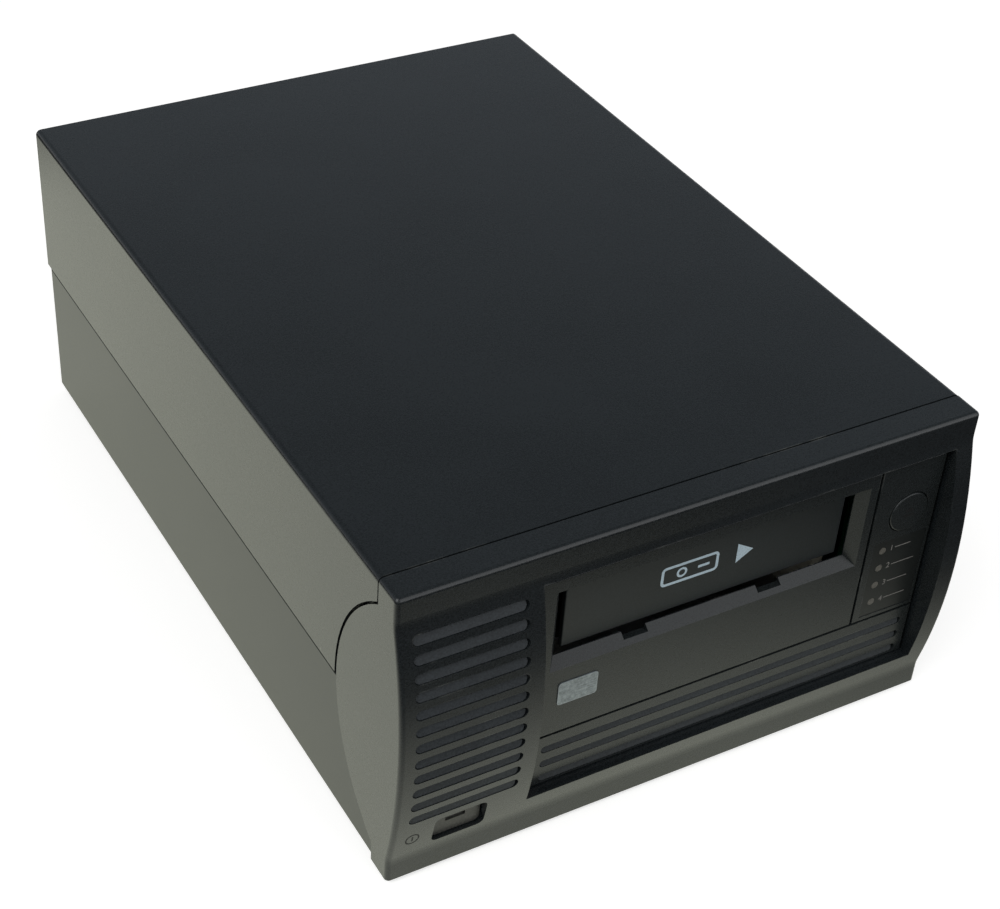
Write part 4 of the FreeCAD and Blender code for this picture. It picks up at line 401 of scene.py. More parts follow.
def rubber_finish(name):
    """Soft foot rubber: matt, dusty and slightly uneven."""
    skin = Finish(name, 0.85, 0.25)
    where = skin.place()
    cloud = skin.step(skin.noise(where, 0.004, 4.0, 0.7), 0.35, 0.7)
    return skin.paint(base_color=skin.mix(cloud, shade(22, 22, 23), shade(52, 51, 49)),
                      normal=skin.bump(skin.noise(where, 0.0006), 0.00008, 0.5))


def plated_sheet(name, colour, roughness=0.38, crystal=0.006):
    """Zinc plated sheet: faint crystals, rolling lines and fine scratches."""
    skin = Finish(name, roughness, 0.5, 1.0)
    part = skin.parts(skin.cells(skin.place(), 1 / crystal)["Color"])["Red"]
    rolled = skin.noise(skin.place((1.0, 40.0, 1.0)), 0.02, 3.0, 0.6)
    body = skin.shades(skin.blend(part, 0.5, rolled), colour, 0.75, 1.15)
    scratch = skin.effect("Scratches", length=0.04, amount=0.55)["Mask"]
    return skin.paint(base_color=skin.mix(scratch, body, scaled(colour, 1.4)),
                      roughness=skin.uneven(part, 0.0, 1.0, roughness, 0.08, 0.1),
                      normal=skin.bump(rolled, 0.00002, 0.3))


def painted_steel(name, colour, settings, roughness=0.55):
    """Powder-painted steel: orange-peel texture with rubbed edges."""
    skin = Finish(name, roughness, 0.35)
    peel = skin.effect("Grain", size=settings.grain * 1.6)
    mask = skin.effect("Edge Wear", width=settings.wear_width * 0.7,
                       amount=settings.wear_amount * 0.8)["Mask"]
    body = skin.shades(peel["Tone"], colour, 0.7, 1.4)
    return skin.paint(base_color=skin.mix(mask, body, shade(140, 140, 138)),
                      roughness=skin.uneven(peel["Tone"], 0.3, 0.7, roughness, 0.08, 0.08),
                      normal=skin.bump(peel["Height"], 0.00012, 0.7))


def turned_metal(name, colour, roughness=0.3, size=0.0015, depth=0.00002):
    """Machined or drawn metal with fine tool marks and faint stains."""
    skin = Finish(name, roughness, 0.5, 1.0)
    marks = skin.noise(skin.place((1.0, 1.0, 12.0)), size, 3.0, 0.6)
    stain = skin.step(skin.noise(skin.place(), 0.012, 3.0, 0.6), 0.45, 0.8, 0.0, 0.35)
    body = skin.shades(marks, colour, 0.8, 1.15)
    return skin.paint(base_color=skin.mix(stain, body, scaled(colour, 0.55)),
                      roughness=skin.uneven(marks, 0.2, 0.8, roughness, 0.08, 0.1),
                      normal=skin.bump(marks, depth, 0.5))


def cast_metal(name, colour, roughness=0.5):
    """Die-cast aluminium: a grey skin with flow marks and a fine sand texture."""
    skin = Finish(name, roughness, 0.5, 1.0)
    flow = skin.noise(skin.place((1.0, 3.0, 1.0)), 0.02, 5.0, 0.7)
    sand = skin.noise(skin.place(), 0.0007, 2.0, 0.5)
    return skin.paint(base_color=skin.shades(skin.step(flow, 0.3, 0.7), colour, 0.7, 1.1),
                      roughness=skin.uneven(flow, 0.3, 0.7, roughness, 0.1, 0.1),
                      normal=skin.bump(sand, 0.00006, 0.6))


def circuit_board(name, mask_colour, copper_colour):
    """Solder mask over copper: straight tracks in two directions, and pads."""
    skin = Finish(name, 0.35, 0.5)
    tracks = []
    for stretch in ((1.0, 0.16, 1.0), (0.16, 1.0, 1.0)):
        cells = skin.add("TexVoronoi", {"Vector": skin.place(stretch), "Scale": 520.0,
                                        "Randomness": 0.35}, distance="CHEBYCHEV")
        tracks.append(skin.math("LESS_THAN", cells.outputs["Distance"], 0.22))
    zone = skin.step(skin.noise(skin.place(), 0.02, 1.0, 0.5), 0.48, 0.52)
    track = skin.add("Mix", {"Factor": zone, "A": tracks[0], "B": tracks[1]},
                     data_type="FLOAT").outputs["Result"]
    pads = skin.add("TexVoronoi", {"Vector": skin.place(), "Scale": 190.0, "Randomness": 0.3})
    pad = skin.math("LESS_THAN", pads.outputs["Distance"], 0.1)
    body = skin.shades(skin.math("MULTIPLY", track, 0.6), mask_colour, 1.0, 1.9)
    return skin.paint(base_color=skin.mix(pad, body, copper_colour), metallic=pad,
                      normal=skin.bump(skin.math("MAXIMUM", track, pad), 0.00003, 0.4))


def moulded_package(name, colour, settings, roughness=0.45):
    """Black epoxy or phenolic mouldings of components."""
    return moulded_plastic(name, colour, settings, roughness, 0.4, 0.5, 0.03, 0.4, 0.0, 0.25)


def frosted_lens(name, colour):
    """Diffusing light pipe: milky, slightly clouded, with a soft gloss."""
    skin = Finish(name, 0.32, 0.5)
    cloud = skin.noise(skin.place(), 0.0009, 3.0, 0.6)
    skin.paint(subsurface_weight=0.3, subsurface_radius=(0.6 * MM, 0.6 * MM, 0.5 * MM),
               subsurface_scale=1.0)
    return skin.paint(base_color=skin.shades(skin.step(cloud, 0.35, 0.65), colour, 0.82, 1.12),
                      normal=skin.bump(cloud, 0.00003, 0.4))


def satin_plate(name, colour):
    """Blank badge: worn satin foil brushed along its width, paler at its rubbed edges."""
    skin = Finish(name, 0.42, 0.5, 0.55)
    brushed = skin.noise(skin.place((0.04, 1.0, 1.0)), 0.0004, 2.0, 0.6)
    rim = skin.effect("Edge Wear", width=0.0006, amount=0.9)["Mask"]
    worn = skin.noise(skin.place(), 0.0012, 4.0, 0.75)
    mottle = skin.step(skin.blend(brushed, 0.4, worn), 0.35, 0.65)
    body = skin.shades(mottle, colour, 0.6, 1.3)
    return skin.paint(base_color=skin.mix(rim, body, scaled(colour, 1.5)),
                      roughness=skin.uneven(brushed, 0.2, 0.8, 0.42, 0.08, 0.08),
                      normal=skin.bump(brushed, 0.00001, 0.3))


def ink(name, colour, roughness=0.5, specular=0.35):
    """Screen-printed ink with slightly uneven cover; dark, it also serves as painted shade in the
    sunk signs and, with no sheen, as the seam's painted shadow.
    """
    skin = Finish(name, roughness, specular)
    cover = skin.noise(skin.place(), 0.0004, 3.0, 0.7)
    return skin.paint(base_color=skin.shades(skin.step(cover, 0.3, 0.6), colour, 0.78, 1.0),
                      normal=skin.bump(cover, 0.00001, 0.3))


def ribbon_jacket(name, pitch=0.00127):
    """Flat cable: grey ribs, one a conductor."""
    skin = Finish(name, 0.5, 0.4)
    across = skin.add("SeparateXYZ", {"Vector": skin.place()}).outputs["X"]
    height = skin.math("DIVIDE", skin.math("PINGPONG", across, pitch / 2), pitch / 2)
    return skin.paint(base_color=skin.mix(skin.step(height, 0.0, 0.5), shade(70, 72, 76),
                                          shade(150, 152, 156)),
                      normal=skin.bump(height, 0.0003, 0.8))


def dress(material, *nodes):
    """Gives a material to CAD nodes, through their own material slots."""
    for name in nodes:
        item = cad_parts[name]
        if not item.material_slots:
            item.data.materials.append(material)
        for place in item.material_slots:
            place.material = material


# ---------------------------------------------------------------- marks

def new_object(name, data):
    """An object in the scene for a mesh, a lamp or a camera."""
    item = bpy.data.objects.new(name, data)
    bpy.context.scene.collection.objects.link(item)
    return item


def bar_shape(across, up, width, height):
    """A rectangle about its middle."""
    return [(across + side * width / 2, up + top * height / 2)
            for side, top in ((-1, -1), (1, -1), (1, 1), (-1, 1))]


def arc_shapes(across, up, radius, stroke, start=0.0, end=360.0, steps=40):
    """A ring, or a part of one, as short flat quadrilaterals."""
    shapes = []
    for step in range(steps):
        corners = []
        for turn, reach in ((step, radius - stroke / 2), (step, radius + stroke / 2),
                            (step + 1, radius + stroke / 2), (step + 1, radius - stroke / 2)):
            angle = math.radians(start + (end - start) * turn / steps)
            corners.append((across + reach * math.cos(angle), up + reach * math.sin(angle)))
        shapes.append(corners)
    return shapes


def rounded_frame(across, up, width, height, radius, stroke):
    """The outline of a rounded rectangle, as strips and quarter rings."""
    side_x, side_z = width / 2 - radius, height / 2 - radius
    shapes = [bar_shape(across, up + sign * height / 2, 2 * side_x, stroke) for sign in (-1, 1)]
    shapes += [bar_shape(across + sign * width / 2, up, stroke, 2 * side_z) for sign in (-1, 1)]
    for quarter, (right, top) in enumerate(((1, 1), (-1, 1), (-1, -1), (1, -1))):
        shapes += arc_shapes(across + right * side_x, up + top * side_z, radius, stroke,
                             90 * quarter, 90 * quarter + 90, 8)
    return shapes


def rounded_corners(left, right, low, high, radius, steps=6):
    """The outline of a rounded rectangle, anticlockwise from the right end of its lower edge."""
    outline = []
    for quarter, (across, up) in enumerate(((right - radius, low + radius),
                                            (right - radius, high - radius),
                                            (left + radius, high - radius),
                                            (left + radius, low + radius))):
        for step in range(steps + 1):
            angle = math.pi / 2 * (quarter - 1 + step / steps)
            outline.append((across + radius * math.cos(angle), up + radius * math.sin(angle)))
    return outline


def digit_shapes(text, across, up, height):
    """A number's faces, from the built-in font."""
    curve = bpy.data.curves.new("digit", "FONT")
    curve.body = text
    curve.size = height / 0.72
    curve.align_x = "CENTER"
    curve.align_y = "CENTER"
    holder = new_object("digit", curve)
    solved = holder.evaluated_get(bpy.context.evaluated_depsgraph_get())
    mesh = bpy.data.meshes.new_from_object(solved)
    shapes = [[(across + mesh.vertices[i].co.x, up + mesh.vertices[i].co.y) for i in face.vertices]
              for face in mesh.polygons]
    bpy.data.objects.remove(holder)
    bpy.data.meshes.remove(mesh)
    bpy.data.curves.remove(curve)
    return shapes


def surface_tree(node):
    """A search tree of a CAD node's faces."""
    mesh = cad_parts[node].data
    return BVHTree.FromPolygons([vertex.co for vertex in mesh.vertices],
                                [tuple(face.vertices) for face in mesh.polygons])


def front_surface(*nodes):
    """A finder of the first surface met from in front, in Y, at a given X and Z."""
    trees = [surface_tree(node) for node in nodes]

    def find(across, up):
        depths = []
        for tree in trees:
            hit = tree.ray_cast(Vector((across, -1.0, up)), Vector((0, 1, 0)))[0]
            if hit is not None:
                depths.append(hit.y)
        if not depths:
            raise RuntimeError("no surface behind the mark at %.4f, %.4f" % (across, up))
        return min(depths)
    return find


def join_rows(mesh, first, second, closed=False):
    """Quadrilaterals between two rows of corners, and between their ends if they are closed."""
    for index in range(0 if closed else 1, len(first)):
        mesh.faces.new((first[index], first[index - 1], second[index - 1], second[index]))


def print_shapes(name, shapes, nodes, material, body, slot):
    """Lays flat shapes on the foremost surface of some nodes, as thin closed solids."""
    find = front_surface(*nodes)
    ink_depth = bpy.context.scene.tape_marks.ink
    mesh = bmesh.new()
    for outline in shapes:
        depths = [find(across, up) for across, up in outline]
        front, back = [[mesh.verts.new((across, depth + offset, up))
                        for (across, up), depth in zip(outline, depths)]
                       for offset in (-ink_depth, ink_depth)]
        mesh.faces.new(front)
        mesh.faces.new(list(reversed(back)))
        join_rows(mesh, front, back, closed=True)
    finish_piece(name, mesh, material, body, slot)


def mesh_object(name, mesh, material):
    """A bmesh as an object in the scene."""
    data = bpy.data.meshes.new(name)
    mesh.to_mesh(data)
    mesh.free()
    data.materials.append(material)
    return new_object(name, data)


def finish_piece(name, mesh, material, body, slot):
    """A closed bmesh as a named piece that rides on a body."""
    bmesh.ops.recalc_face_normals(mesh, faces=mesh.faces)
    item = mesh_object(name, mesh, material)
    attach(item, body)


def middle(node):
    """The middle of a CAD node's box."""
    low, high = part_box(node)
    return (low + high) / 2


# ---------------------------------------------------------------- operators: finishes

class TAPEDRIVE_OT_shell(Operator):
    """Finish the top cover, the base tray, the feet and the screws"""
    bl_idname = "tape_drive.shell"
    bl_label = "Shell"

    def execute(self, context):
        look = context.scene.tape_finish
        dress(moulded_plastic("cover_moulding", look.shell, look), "top_cover")
        dress(moulded_plastic("tray_moulding", look.shell, look, 0.32, 0.31), "base_tray")
        dress(rubber_finish("foot_rubber"), "rubber_feet")
        dress(painted_steel("screw_black", shade(44, 44, 46), look, 0.4), "screws")
        return {"FINISHED"}


class TAPEDRIVE_OT_bezel(Operator):
    """Finish the front bezel and its power button"""
    bl_idname = "tape_drive.bezel"
    bl_label = "Front bezel"

    def execute(self, context):
        look = context.scene.tape_finish
        dress(moulded_plastic("bezel_moulding", look.bezel, look), "front_bezel")
        dress(moulded_plastic("button_moulding", look.button, look, 0.4, 0.4), "power_button")
        dress(frosted_lens("power_light_pipe", scaled(look.button, 1.6)), "power_lens")
        return {"FINISHED"}


class TAPEDRIVE_OT_drive_face(Operator):
    """Finish the drive's faceplate, door, label, lamps and blank badge"""
    bl_idname = "tape_drive.drive_face"
    bl_label = "Drive face"

    def execute(self, context):
        look = context.scene.tape_finish
        dress(moulded_plastic("faceplate_moulding", look.drive, look, 0.28, 0.42),
              "drive_faceplate", "eject_button")
        dress(moulded_plastic("door_moulding", look.door, look, 0.38, 0.45, 0.8),
              "cartridge_door")
        dress(moulded_plastic("label_film", look.label, look, 0.32, 0.4, 0.6, 0.01, 0.2),
              "indicator_label")
        dress(frosted_lens("lamp_lens", look.lens), "indicator_lenses")
        dress(satin_plate("badge_foil", look.badge), "badge_plate")
        dress(turned_metal("door_pin_steel", shade(170, 172, 174), 0.25), "door_pin")
        return {"FINISHED"}


class TAPEDRIVE_OT_chassis(Operator):
    """Finish the sheet metal of the drive and of the power supply"""
    bl_idname = "tape_drive.chassis"
    bl_label = "Chassis"

    def execute(self, context):
        zinc = plated_sheet("zinc_sheet", shade(178, 180, 180))
        dress(zinc, "drive_chassis", "drive_lid", "mounting_brackets", "supply_bracket")
        dress(painted_steel("tray_black", shade(36, 37, 38), context.scene.tape_finish),
              "cartridge_tray")
        dress(turned_metal("spring_steel", shade(150, 150, 148), 0.3), "springs")
        return {"FINISHED"}


class TAPEDRIVE_OT_mechanism(Operator):
    """Finish the deck, the loader, the reels, the rollers and the head"""
    bl_idname = "tape_drive.mechanism"
    bl_label = "Mechanism"

    def execute(self, context):
        look = context.scene.tape_finish
        dress(cast_metal("deck_casting", shade(165, 167, 168)), "mechanism_deck", "head_carriage")
        dress(turned_metal("roller_aluminium", shade(190, 190, 190), 0.22), "guide_roller_1",
              "guide_roller_2", "guide_roller_3", "guide_roller_4")
        dress(turned_metal("post_steel", shade(175, 176, 178), 0.2), "guide_posts")
        nylon = moulded_plastic("nylon", shade(212, 208, 192), look, 0.4, 0.4, 0.8, 0.02, 0.0, 0.0,
                                0.06)
        dress(nylon, "deck_supports", "tray_rack", "loader_pinion", "drive_chuck", "switch_plunger",
              "id_wheel")
        dress(turned_metal("motor_can", shade(150, 151, 152), 0.35), "loader_motor", "reel_motors")
        dress(moulded_package("reel_moulding", shade(34, 35, 38), look), "take_up_reel")
        dress(moulded_package("head_ceramic", shade(70, 62, 56), look, 0.2), "read_write_head")
        dress(painted_steel("magnet_yoke", shade(60, 61, 64), look, 0.4), "head_magnet")
        return {"FINISHED"}


class TAPEDRIVE_OT_electronics(Operator):
    """Finish the boards, their components, the heatsink and the wiring"""
    bl_idname = "tape_drive.electronics"
    bl_label = "Electronics"

    def execute(self, context):
        look = context.scene.tape_finish
        board = circuit_board("solder_mask", shade(12, 66, 40), shade(196, 160, 96))
        dress(board, "drive_board", "panel_board", "supply_board")
        dress(moulded_package("black_package", shade(30, 30, 33), look), "board_components",
              "panel_components", "supply_components", "power_switch")
        dress(turned_metal("standoff_brass", shade(196, 168, 100), 0.28), "standoffs")
        dress(cast_metal("heatsink_aluminium", shade(180, 182, 184), 0.4), "supply_heatsink")
        dress(ribbon_jacket("cable_jacket"), "inner_wiring")
        return {"FINISHED"}


class TAPEDRIVE_OT_rear(Operator):
    """Finish the rear panel, the fan, the mains inlet and the data ports"""
    bl_idname = "tape_drive.rear"
    bl_label = "Rear panel"

    def execute(self, context):
        look = context.scene.tape_finish
        dress(painted_steel("rear_paint", shade(34, 36, 38), look), "rear_panel")
        fan = moulded_package("fan_moulding", shade(26, 27, 29), look, 0.4)
        dress(fan, "fan_frame", "fan_rotor", "power_inlet", "id_selector", "id_key_up", "id_key_down")
        dress(turned_metal("guard_nickel", shade(200, 200, 202), 0.14), "fan_guard")
        dress(turned_metal("port_nickel", shade(186, 186, 184), 0.25), "data_ports", "jack_nuts")
        dress(turned_metal("pin_plating", shade(205, 190, 140), 0.22), "inlet_pins")
        return {"FINISHED"}


# ---------------------------------------------------------------- operators: sloping floors

def recesses(depth_at, start, stop, jump=0.5 * MM, step=0.05 * MM):
    """The stretches between two places where a surface lies deeper than the skin before it."""
    spans = []
    place, level, opened = start, depth_at(start), None
    while place < stop:
        place += step
        depth = depth_at(place)
        if opened is None and depth > level + jump:
            opened = place - step
        elif opened is not None and depth < level - jump:
            spans.append((opened, place))
            opened = None
        level = depth
    return spans


def sloping_floor(mesh, find, span_x, span_z, rise, size):
    """A round-ended wedge in a recess: deep under its upper edge, near the skin at its lower one."""
    radius = (span_z[1] - span_z[0]) / 2 - size.margin
    middle_z = (span_z[0] + span_z[1]) / 2
    left = span_x[0] + radius + size.margin
    right = span_x[1] - radius - size.end_margin
    columns = [(left - radius * math.cos(turn), radius * math.sin(turn))
               for turn in [math.pi / 2 * index / 8 + 0.02 for index in range(8)]]
    columns += [(left, radius), (right, radius)]
    columns += [(left + right - across, half) for across, half in reversed(columns[:8])]
    rows = 6
    ends = [find(side, middle_z) for side in (left, right)]
    slant = sum(find(side, middle_z - radius / 2) - find(side, middle_z + radius / 2)
                for side in (left, (left + right) / 2, right)) / 3 / radius
    front, back = [], []
    for across, half in columns:
        line, rear = [], []
        for index in range(rows + 1):
            up = middle_z + half * (1 - 2 * index / rows)
            deep = ends[0] + (ends[1] - ends[0]) * (across - left) / (right - left)
            deep += slant * (middle_z - up)
            share = (middle_z + radius - up) / (2 * radius)
            line.append(mesh.verts.new((across, deep - size.seat - rise * share, up)))
            rear.append(mesh.verts.new((across, deep + size.seat, up)))
        front.append(line)
        back.append(rear)
    for grid in (front, back):
        for line, following in zip(grid, grid[1:]):
            join_rows(mesh, line, following)
    for edge in (0, rows):
        join_rows(mesh, [line[edge] for line in front], [line[edge] for line in back])
    for end in (0, -1):
        join_rows(mesh, front[end], back[end])


class TAPEDRIVE_OT_louvre_floors(Operator):
    """Add the sloping floors inside the bezel's louvres and the drive face's grooves, painted paler
    than the mouldings round them as painted reflection
    """
    bl_idname = "tape_drive.louvre_floors"
    bl_label = "Louvre floors"

    def execute(self, context):
        size, look = context.scene.tape_louvres, context.scene.tape_finish
        bezel_low, bezel_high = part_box("front_bezel")
        face_low, face_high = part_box("drive_faceplate")
        column = face_low.x - 10 * MM
        # Each floor's colour is painted reflection: paler than its bezel or faceplate, for the light
        # its slope catches.
        groups = (
            ("louvre_floors", "front_bezel", look.louvre_painted_light, "bezel_plastic", column,
             (bezel_low.z + 12 * MM, bezel_high.z - 8 * MM),
             (bezel_low.x + 1 * MM, face_low.x - 2 * MM), size.louvre_rise),
            ("groove_floors", "drive_faceplate", look.groove_painted_light, "drive_plastic", 0.0,
             (face_low.z + 1 * MM, face_low.z + 18 * MM), (face_low.x + 1 * MM, face_high.x - 1 * MM),
             size.groove_rise),
        )
        for name, node, colour, slot, across, heights, sides, rise in groups:
            find = front_surface(node)
            mesh = bmesh.new()
            spans = recesses(lambda up: find(across, up), *heights)
            if not spans:
                raise RuntimeError("no recess found on " + node)
            for span in spans:
                level = (span[0] + span[1]) / 2
                ends = recesses(lambda side: find(side, level), *sides)[0]
                sloping_floor(mesh, find, ends, span, rise, size)
            # Painted reflection: the pale colour stands in for light on the floors, not a paler
            # plastic.
            material = moulded_plastic(name, colour, look, 0.5, 0.22, wear=0.0)
            finish_piece(name, mesh, material, "housing", slot)
        return {"FINISHED"}


class TAPEDRIVE_OT_seam_shadow_strip(Operator):
    """Add a thin dark strip along the tray's edge, under the cover: painted shadow of the seam"""
    bl_idname = "tape_drive.seam_gasket"
    bl_label = "Seam gasket"

    def execute(self, context):
        size = context.scene.tape_louvres
        low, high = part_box("base_tray")
        tree = surface_tree("base_tray")

        def on_face(along, up):
            hit = tree.ray_cast(Vector((low.x - 0.1, along, up)), Vector((1, 0, 0)))[0]
            return hit is not None and hit.x < low.x + 0.05 * MM

        top = low.z
        while on_face(0.0, top + 0.1 * MM) or top < (low.z + high.z) / 2:
            top += 0.05 * MM
        start = low.y
        while not on_face(start, top - size.seam_shadow_height / 2):
            start += 0.1 * MM
        mesh = bmesh.new()
        for side in (low.x, high.x):
            made = bmesh.ops.create_cube(mesh, size=1.0)["verts"]
            bmesh.ops.scale(mesh, verts=made, vec=(0.1 * MM, high.y - start - 0.4 * MM, size.seam_shadow_height))
            bmesh.ops.translate(mesh, verts=made,
                                vec=(side, (start + high.y) / 2, top - size.seam_shadow_height / 2))
        # Painted shadow: dark ink with no sheen stands in for the shade in the seam.
        material = ink("seam_shadow_ink", context.scene.tape_finish.painted_shade_colour, 0.9, 0.0)
        finish_piece("seam_painted_shadow", mesh, material, "housing", "rubber")
        return {"FINISHED"}


# ---------------------------------------------------------------- operators: marks

SIGN_GAP = 6.1 * MM
LEGEND_GAP = 1.6 * MM
RULE_LENGTHS = (6.4 * MM, 9.2 * MM, 8.0 * MM, 8.6 * MM)


class TAPEDRIVE_OT_power_sign(Operator):
    """Add the sunk on-off sign beside the power button: a ring round an upright bar, laid on as dark
    ink that is painted shade
    """
    bl_idname = "tape_drive.power_sign"
    bl_label = "Power sign"

    def execute(self, context):
        size = context.scene.tape_marks
        low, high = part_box("power_button")
        across, up = low.x - SIGN_GAP, (low.z + high.z) / 2
        shapes = arc_shapes(across, up, size.symbol, size.stroke)
        shapes.append(bar_shape(across, up, size.stroke, size.symbol))
        # Painted shade: flat dark ink stands in for the shade in the sign's sunk strokes.
        material = ink("sunk_sign_painted_shade", context.scene.tape_finish.painted_shade_colour, 0.7)
        print_shapes("power_sign", shapes, ["front_bezel"], material, "housing", "bezel_plastic")
        return {"FINISHED"}


class TAPEDRIVE_OT_power_cap(Operator):
    """Add the raised cap of the power button, with a window round its lens"""
    bl_idname = "tape_drive.power_cap"
    bl_label = "Power button cap"

    def execute(self, context):
        size = context.scene.tape_marks
        centre = middle("power_lens")
        find = front_surface("power_button", "power_lens")
        level = find(centre.x, middle("power_button").z)
        reach = []
        for step_x, step_z in ((-1, 0), (1, 0), (0, -1), (0, 1)):
            gone = 0.0
            while find(centre.x + step_x * gone, centre.z + step_z * gone) < level + 0.5 * MM:
                gone += 0.1 * MM
            reach.append(gone - size.cap_inset)
        lens_low, lens_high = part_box("power_lens")
        outer = rounded_corners(centre.x - reach[0], centre.x + reach[1], centre.z - reach[2],
                                centre.z + reach[3], size.cap_round)
        inner = rounded_corners(lens_low.x, lens_high.x, lens_low.z, lens_high.z, 0.3 * MM)
        mesh = bmesh.new()
        loops = [[mesh.verts.new((across, depth, up)) for across, up in loop]
                 for loop, depth in ((outer, level - size.cap_rise), (inner, level - size.cap_rise),
                                     (inner, level + size.ink), (outer, level + size.ink))]
        for first, second in zip(loops, loops[1:] + loops[:1]):
            join_rows(mesh, first, second, closed=True)
        finish_piece("power_button_cap", mesh, bpy.data.materials["button_moulding"],
                     "power_button", "button_plastic")
        return {"FINISHED"}


class TAPEDRIVE_OT_eject_sign(Operator):
    """Add the eject sign on its button: a triangle over a bar, laid on as dark ink that is painted
    shade
    """
    bl_idname = "tape_drive.eject_sign"
    bl_label = "Eject sign"

    def execute(self, context):
        size = context.scene.tape_marks
        centre = middle("eject_button")
        wide = size.symbol * 0.95
        shapes = [
            [(centre.x - wide, centre.z + 0.3 * MM), (centre.x + wide, centre.z + 0.3 * MM),
             (centre.x, centre.z + 2.2 * MM)],
            bar_shape(centre.x, centre.z - 1.2 * MM, 2 * wide, size.stroke * 1.6),
        ]
        # Painted shade: flat dark ink stands in for the shade in the sign's sunk strokes.
        material = ink("eject_sign_painted_shade", scaled(context.scene.tape_finish.painted_shade_colour, 1.3), 0.6)
        print_shapes("eject_sign", shapes, ["eject_button"], material, "eject_button",
                     "button_plastic")
        return {"FINISHED"}


class TAPEDRIVE_OT_lamp_legend(Operator):
    """Number the four lamps, with a plain rule beside each number"""
    bl_idname = "tape_drive.lamp_legend"
    bl_label = "Lamp legend"

    def execute(self, context):
        size = context.scene.tape_marks
        low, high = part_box("indicator_lenses")
        radius = (high.x - low.x) / 2
        pitch = (high.z - low.z - 2 * radius) / 3
        shapes = []
        start = high.x + LEGEND_GAP
        for index, long in enumerate(RULE_LENGTHS):
            up = high.z - radius - index * pitch
            shapes += digit_shapes(str(index + 1), start + size.digit / 3, up, size.digit)
            shapes.append(bar_shape(start + size.digit * 0.9 + long / 2, up, long, size.rule))
        material = ink("legend_ink", context.scene.tape_finish.legend)
        print_shapes("lamp_legend", shapes, ["indicator_label", "drive_faceplate"], material,
                     "housing", "label_film")
        return {"FINISHED"}


class TAPEDRIVE_OT_door_mark(Operator):
    """Print a plain cartridge picture and an arrow on the door"""
    bl_idname = "tape_drive.door_mark"
    bl_label = "Door mark"

    def execute(self, context):
        size = context.scene.tape_marks
        centre = middle("cartridge_door")
        tall, stroke = size.door_mark_tall, size.stroke * 2
        wide = size.door_mark * 0.62
        left = centre.x - size.door_mark / 2 + wide / 2
        shapes = rounded_frame(left, centre.z, wide - stroke, tall - stroke, tall * 0.16, stroke)
        shapes += arc_shapes(left - wide * 0.14, centre.z, tall * 0.2, stroke * 0.8)
        shapes.append(bar_shape(left + wide * 0.24, centre.z, wide * 0.2, stroke))
        tip = centre.x + size.door_mark / 2
        base = tip - tall * 0.8
        shapes.append([(base, centre.z - tall / 2), (tip, centre.z), (base, centre.z + tall / 2)])
        material = ink("door_ink", context.scene.tape_finish.door_print)
        print_shapes("door_mark", shapes, ["cartridge_door"], material, "cartridge_door",
                     "door_plastic")
        return {"FINISHED"}


# ---------------------------------------------------------------- stage

WHITE = (1.0, 1.0, 1.0)
GLOSS_TINT = (0.95, 1.0, 0.74)
CAMERA_SPOT = (-0.29939, -0.50180, 0.47946)
CAMERA_RIGHT = (0.87958198, -0.47394666, 0.04135328)
CAMERA_AHEAD = (0.3949884, 0.67905715, -0.61876131)
CAMERA_SHIFT = (0.0581, 0.0332)
KEY_SPOT = (-1.5, -0.5, 1.6)
FRONT_SPOT = (0.68, -1.27, 0.90)
LAMP_SIDE = 1.6


def background_rays(graph):
    """1 for the lens, and 1 for mirrored and transmitted rays, or 0 for other light."""
    path = graph.add("LightPath").outputs
    return path["Is Camera Ray"], graph.math("MAXIMUM", path["Is Glossy Ray"],
                                             path["Is Transmission Ray"])


def floor_finish(settings):
    """A pale sheet with a painted pool of light at the object's left, that keeps its shadows and
    looks white.
    """
    sheet = Finish("studio_floor", 0.9, 0.0)
    where = sheet.place()
    distance = sheet.add("VectorMath", {0: where, 1: tuple(settings.pool_middle)},
                         operation="DISTANCE").outputs["Value"]
    reach = (settings.pool, settings.pool_edge)
    lit = sheet.shades(sheet.noise(where, 0.8, 2.0, 0.5), tuple(settings.floor_colour), 0.98, 1.0)
    # Painted shade: away from the pool the floor's colour falls to the darker far floor, which
    # reflections show.
    body = sheet.mix(sheet.step(distance, *reach), lit, tuple(settings.far_floor_painted_shade))
    lens, gloss = background_rays(sheet)
    white = sheet.math("MULTIPLY", lens, sheet.step(distance, *reach, 0.58, 1.0))
    # Painted reflection: extra brightness, tinted by GLOSS_TINT, that only gloss sees, fading out
    # with the pool.
    mirrored = sheet.math("MULTIPLY", gloss, sheet.step(distance, *reach, settings.glow, 0.0))
    return sheet.paint(base_color=body, emission_color=sheet.mix(lens, GLOSS_TINT, WHITE),
                       emission_strength=sheet.math("ADD", white, mirrored))


def build_world(context, settings):
    """Even light, with a pale horizon and a darker ceiling for the lens, gloss and glass."""
    world = bpy.data.worlds.new("studio")
    world.use_nodes = True
    context.scene.world = world
    graph = Graph(world.node_tree)
    backdrop = world.node_tree.nodes["Background"]
    way = graph.add("SeparateXYZ", {"Vector": graph.add("TexCoord").outputs["Generated"]})
    rise = graph.step(way.outputs["Z"], 0.03, 0.3)
    higher = graph.step(way.outputs["Z"], 0.3, 0.7)
    dark = (settings.ceiling * 0.88, settings.ceiling, settings.ceiling * 1.12)
    wall = scaled(dark, 2.6)
    seen_sky = graph.mix(higher, graph.mix(rise, WHITE, wall), dark)
    seen = graph.math("MAXIMUM", *background_rays(graph))
    graph.feed(backdrop.inputs["Color"], graph.mix(seen, (settings.sky,) * 3, seen_sky))


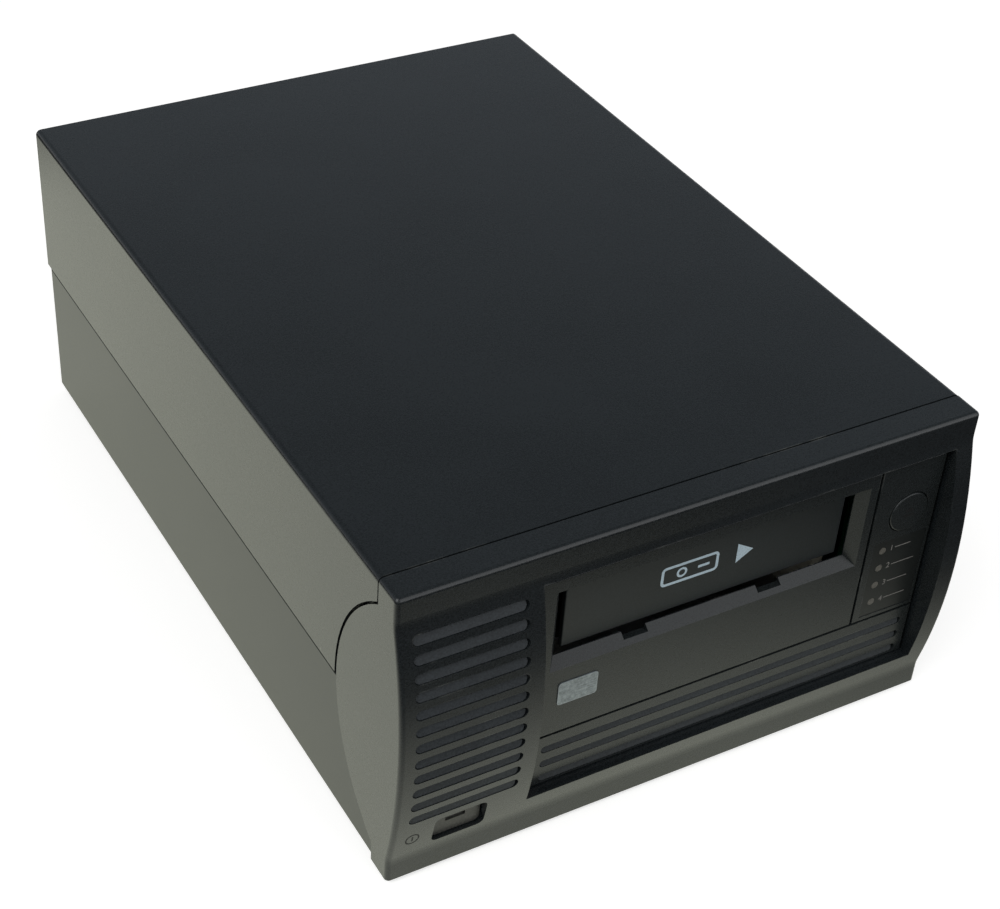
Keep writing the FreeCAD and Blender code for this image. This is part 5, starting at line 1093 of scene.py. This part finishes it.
def area_lamp(name, power, spot, target):
    """A soft square lamp that points at a place."""
    lamp = bpy.data.lights.new(name, "AREA")
    lamp.energy = power
    lamp.size = LAMP_SIDE
    item = new_object(name, lamp)
    item.location = spot
    item.rotation_euler = (target - Vector(spot)).to_track_quat("-Z", "Y").to_euler()


def studio_camera(context, lens):
    """The camera: high at the front left, slightly rolled."""
    data = bpy.data.cameras.new("camera")
    data.lens = lens
    data.sensor_width = 36.0
    data.shift_x, data.shift_y = CAMERA_SHIFT
    data.clip_end = 100.0
    item = new_object("camera", data)
    right = Vector(CAMERA_RIGHT)
    back = -Vector(CAMERA_AHEAD)
    turn = Matrix((right, back.cross(right), back)).transposed().to_4x4()
    item.matrix_world = Matrix.Translation(CAMERA_SPOT) @ turn
    context.scene.camera = item


class TAPEDRIVE_OT_stage(Operator):
    """Build the floor, the light and the camera"""
    bl_idname = "tape_drive.stage"
    bl_label = "Stage"

    def execute(self, context):
        settings = context.scene.tape_stage
        side = settings.floor_size
        mesh = bmesh.new()
        mesh.faces.new([mesh.verts.new((x, y, 0.0)) for x, y in bar_shape(0, 0, side, side)])
        floor = mesh_object("floor", mesh, floor_finish(settings))
        floor.location.z = CAD_BOX[0].z - 0.02 * MM
        build_world(context, settings)
        target = (CAD_BOX[0] + CAD_BOX[1]) / 2
        area_lamp("key_lamp", settings.key, KEY_SPOT, target)
        area_lamp("front_lamp", settings.front, FRONT_SPOT, target)
        studio_camera(context, settings.lens)
        context.scene.view_settings.view_transform = "Standard"
        return {"FINISHED"}


class TAPEDRIVE_PT_panel(Panel):
    """The tape drive's operators and settings"""
    bl_label = "Data Tape Drive"
    bl_idname = "TAPEDRIVE_PT_panel"
    bl_space_type = "VIEW_3D"
    bl_region_type = "UI"
    bl_category = "Tape Drive"

    def draw(self, context):
        column = self.layout.column(align=True)
        for operator in OPERATORS:
            column.operator(operator.bl_idname)
        for group in [getattr(context.scene, name) for name in SETTINGS]:
            box = self.layout.box()
            for name in group.__annotations__:
                box.prop(group, name)


OPERATORS = (
    TAPEDRIVE_OT_shell,
    TAPEDRIVE_OT_bezel,
    TAPEDRIVE_OT_drive_face,
    TAPEDRIVE_OT_chassis,
    TAPEDRIVE_OT_mechanism,
    TAPEDRIVE_OT_electronics,
    TAPEDRIVE_OT_rear,
    TAPEDRIVE_OT_louvre_floors,
    TAPEDRIVE_OT_seam_shadow_strip,
    TAPEDRIVE_OT_power_sign,
    TAPEDRIVE_OT_power_cap,
    TAPEDRIVE_OT_eject_sign,
    TAPEDRIVE_OT_lamp_legend,
    TAPEDRIVE_OT_door_mark,
    TAPEDRIVE_OT_stage,
)
SETTINGS = {"tape_finish": TAPEDRIVE_PG_finish, "tape_marks": TAPEDRIVE_PG_marks,
            "tape_louvres": TAPEDRIVE_PG_louvres, "tape_stage": TAPEDRIVE_PG_stage}


def register():
    for part in (*SETTINGS.values(), *OPERATORS, TAPEDRIVE_PT_panel):
        bpy.utils.register_class(part)
    for name, group in SETTINGS.items():
        setattr(bpy.types.Scene, name, PointerProperty(type=group))


def unregister():
    for name in SETTINGS:
        delattr(bpy.types.Scene, name)
    for part in (TAPEDRIVE_PT_panel, *reversed(OPERATORS), *SETTINGS.values()):
        bpy.utils.unregister_class(part)


def main():
    """Registers the add-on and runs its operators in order."""
    register()
    for operator in OPERATORS:
        family, name = operator.bl_idname.split(".")
        getattr(getattr(bpy.ops, family), name)()


if __name__ == "__main__":
    main()
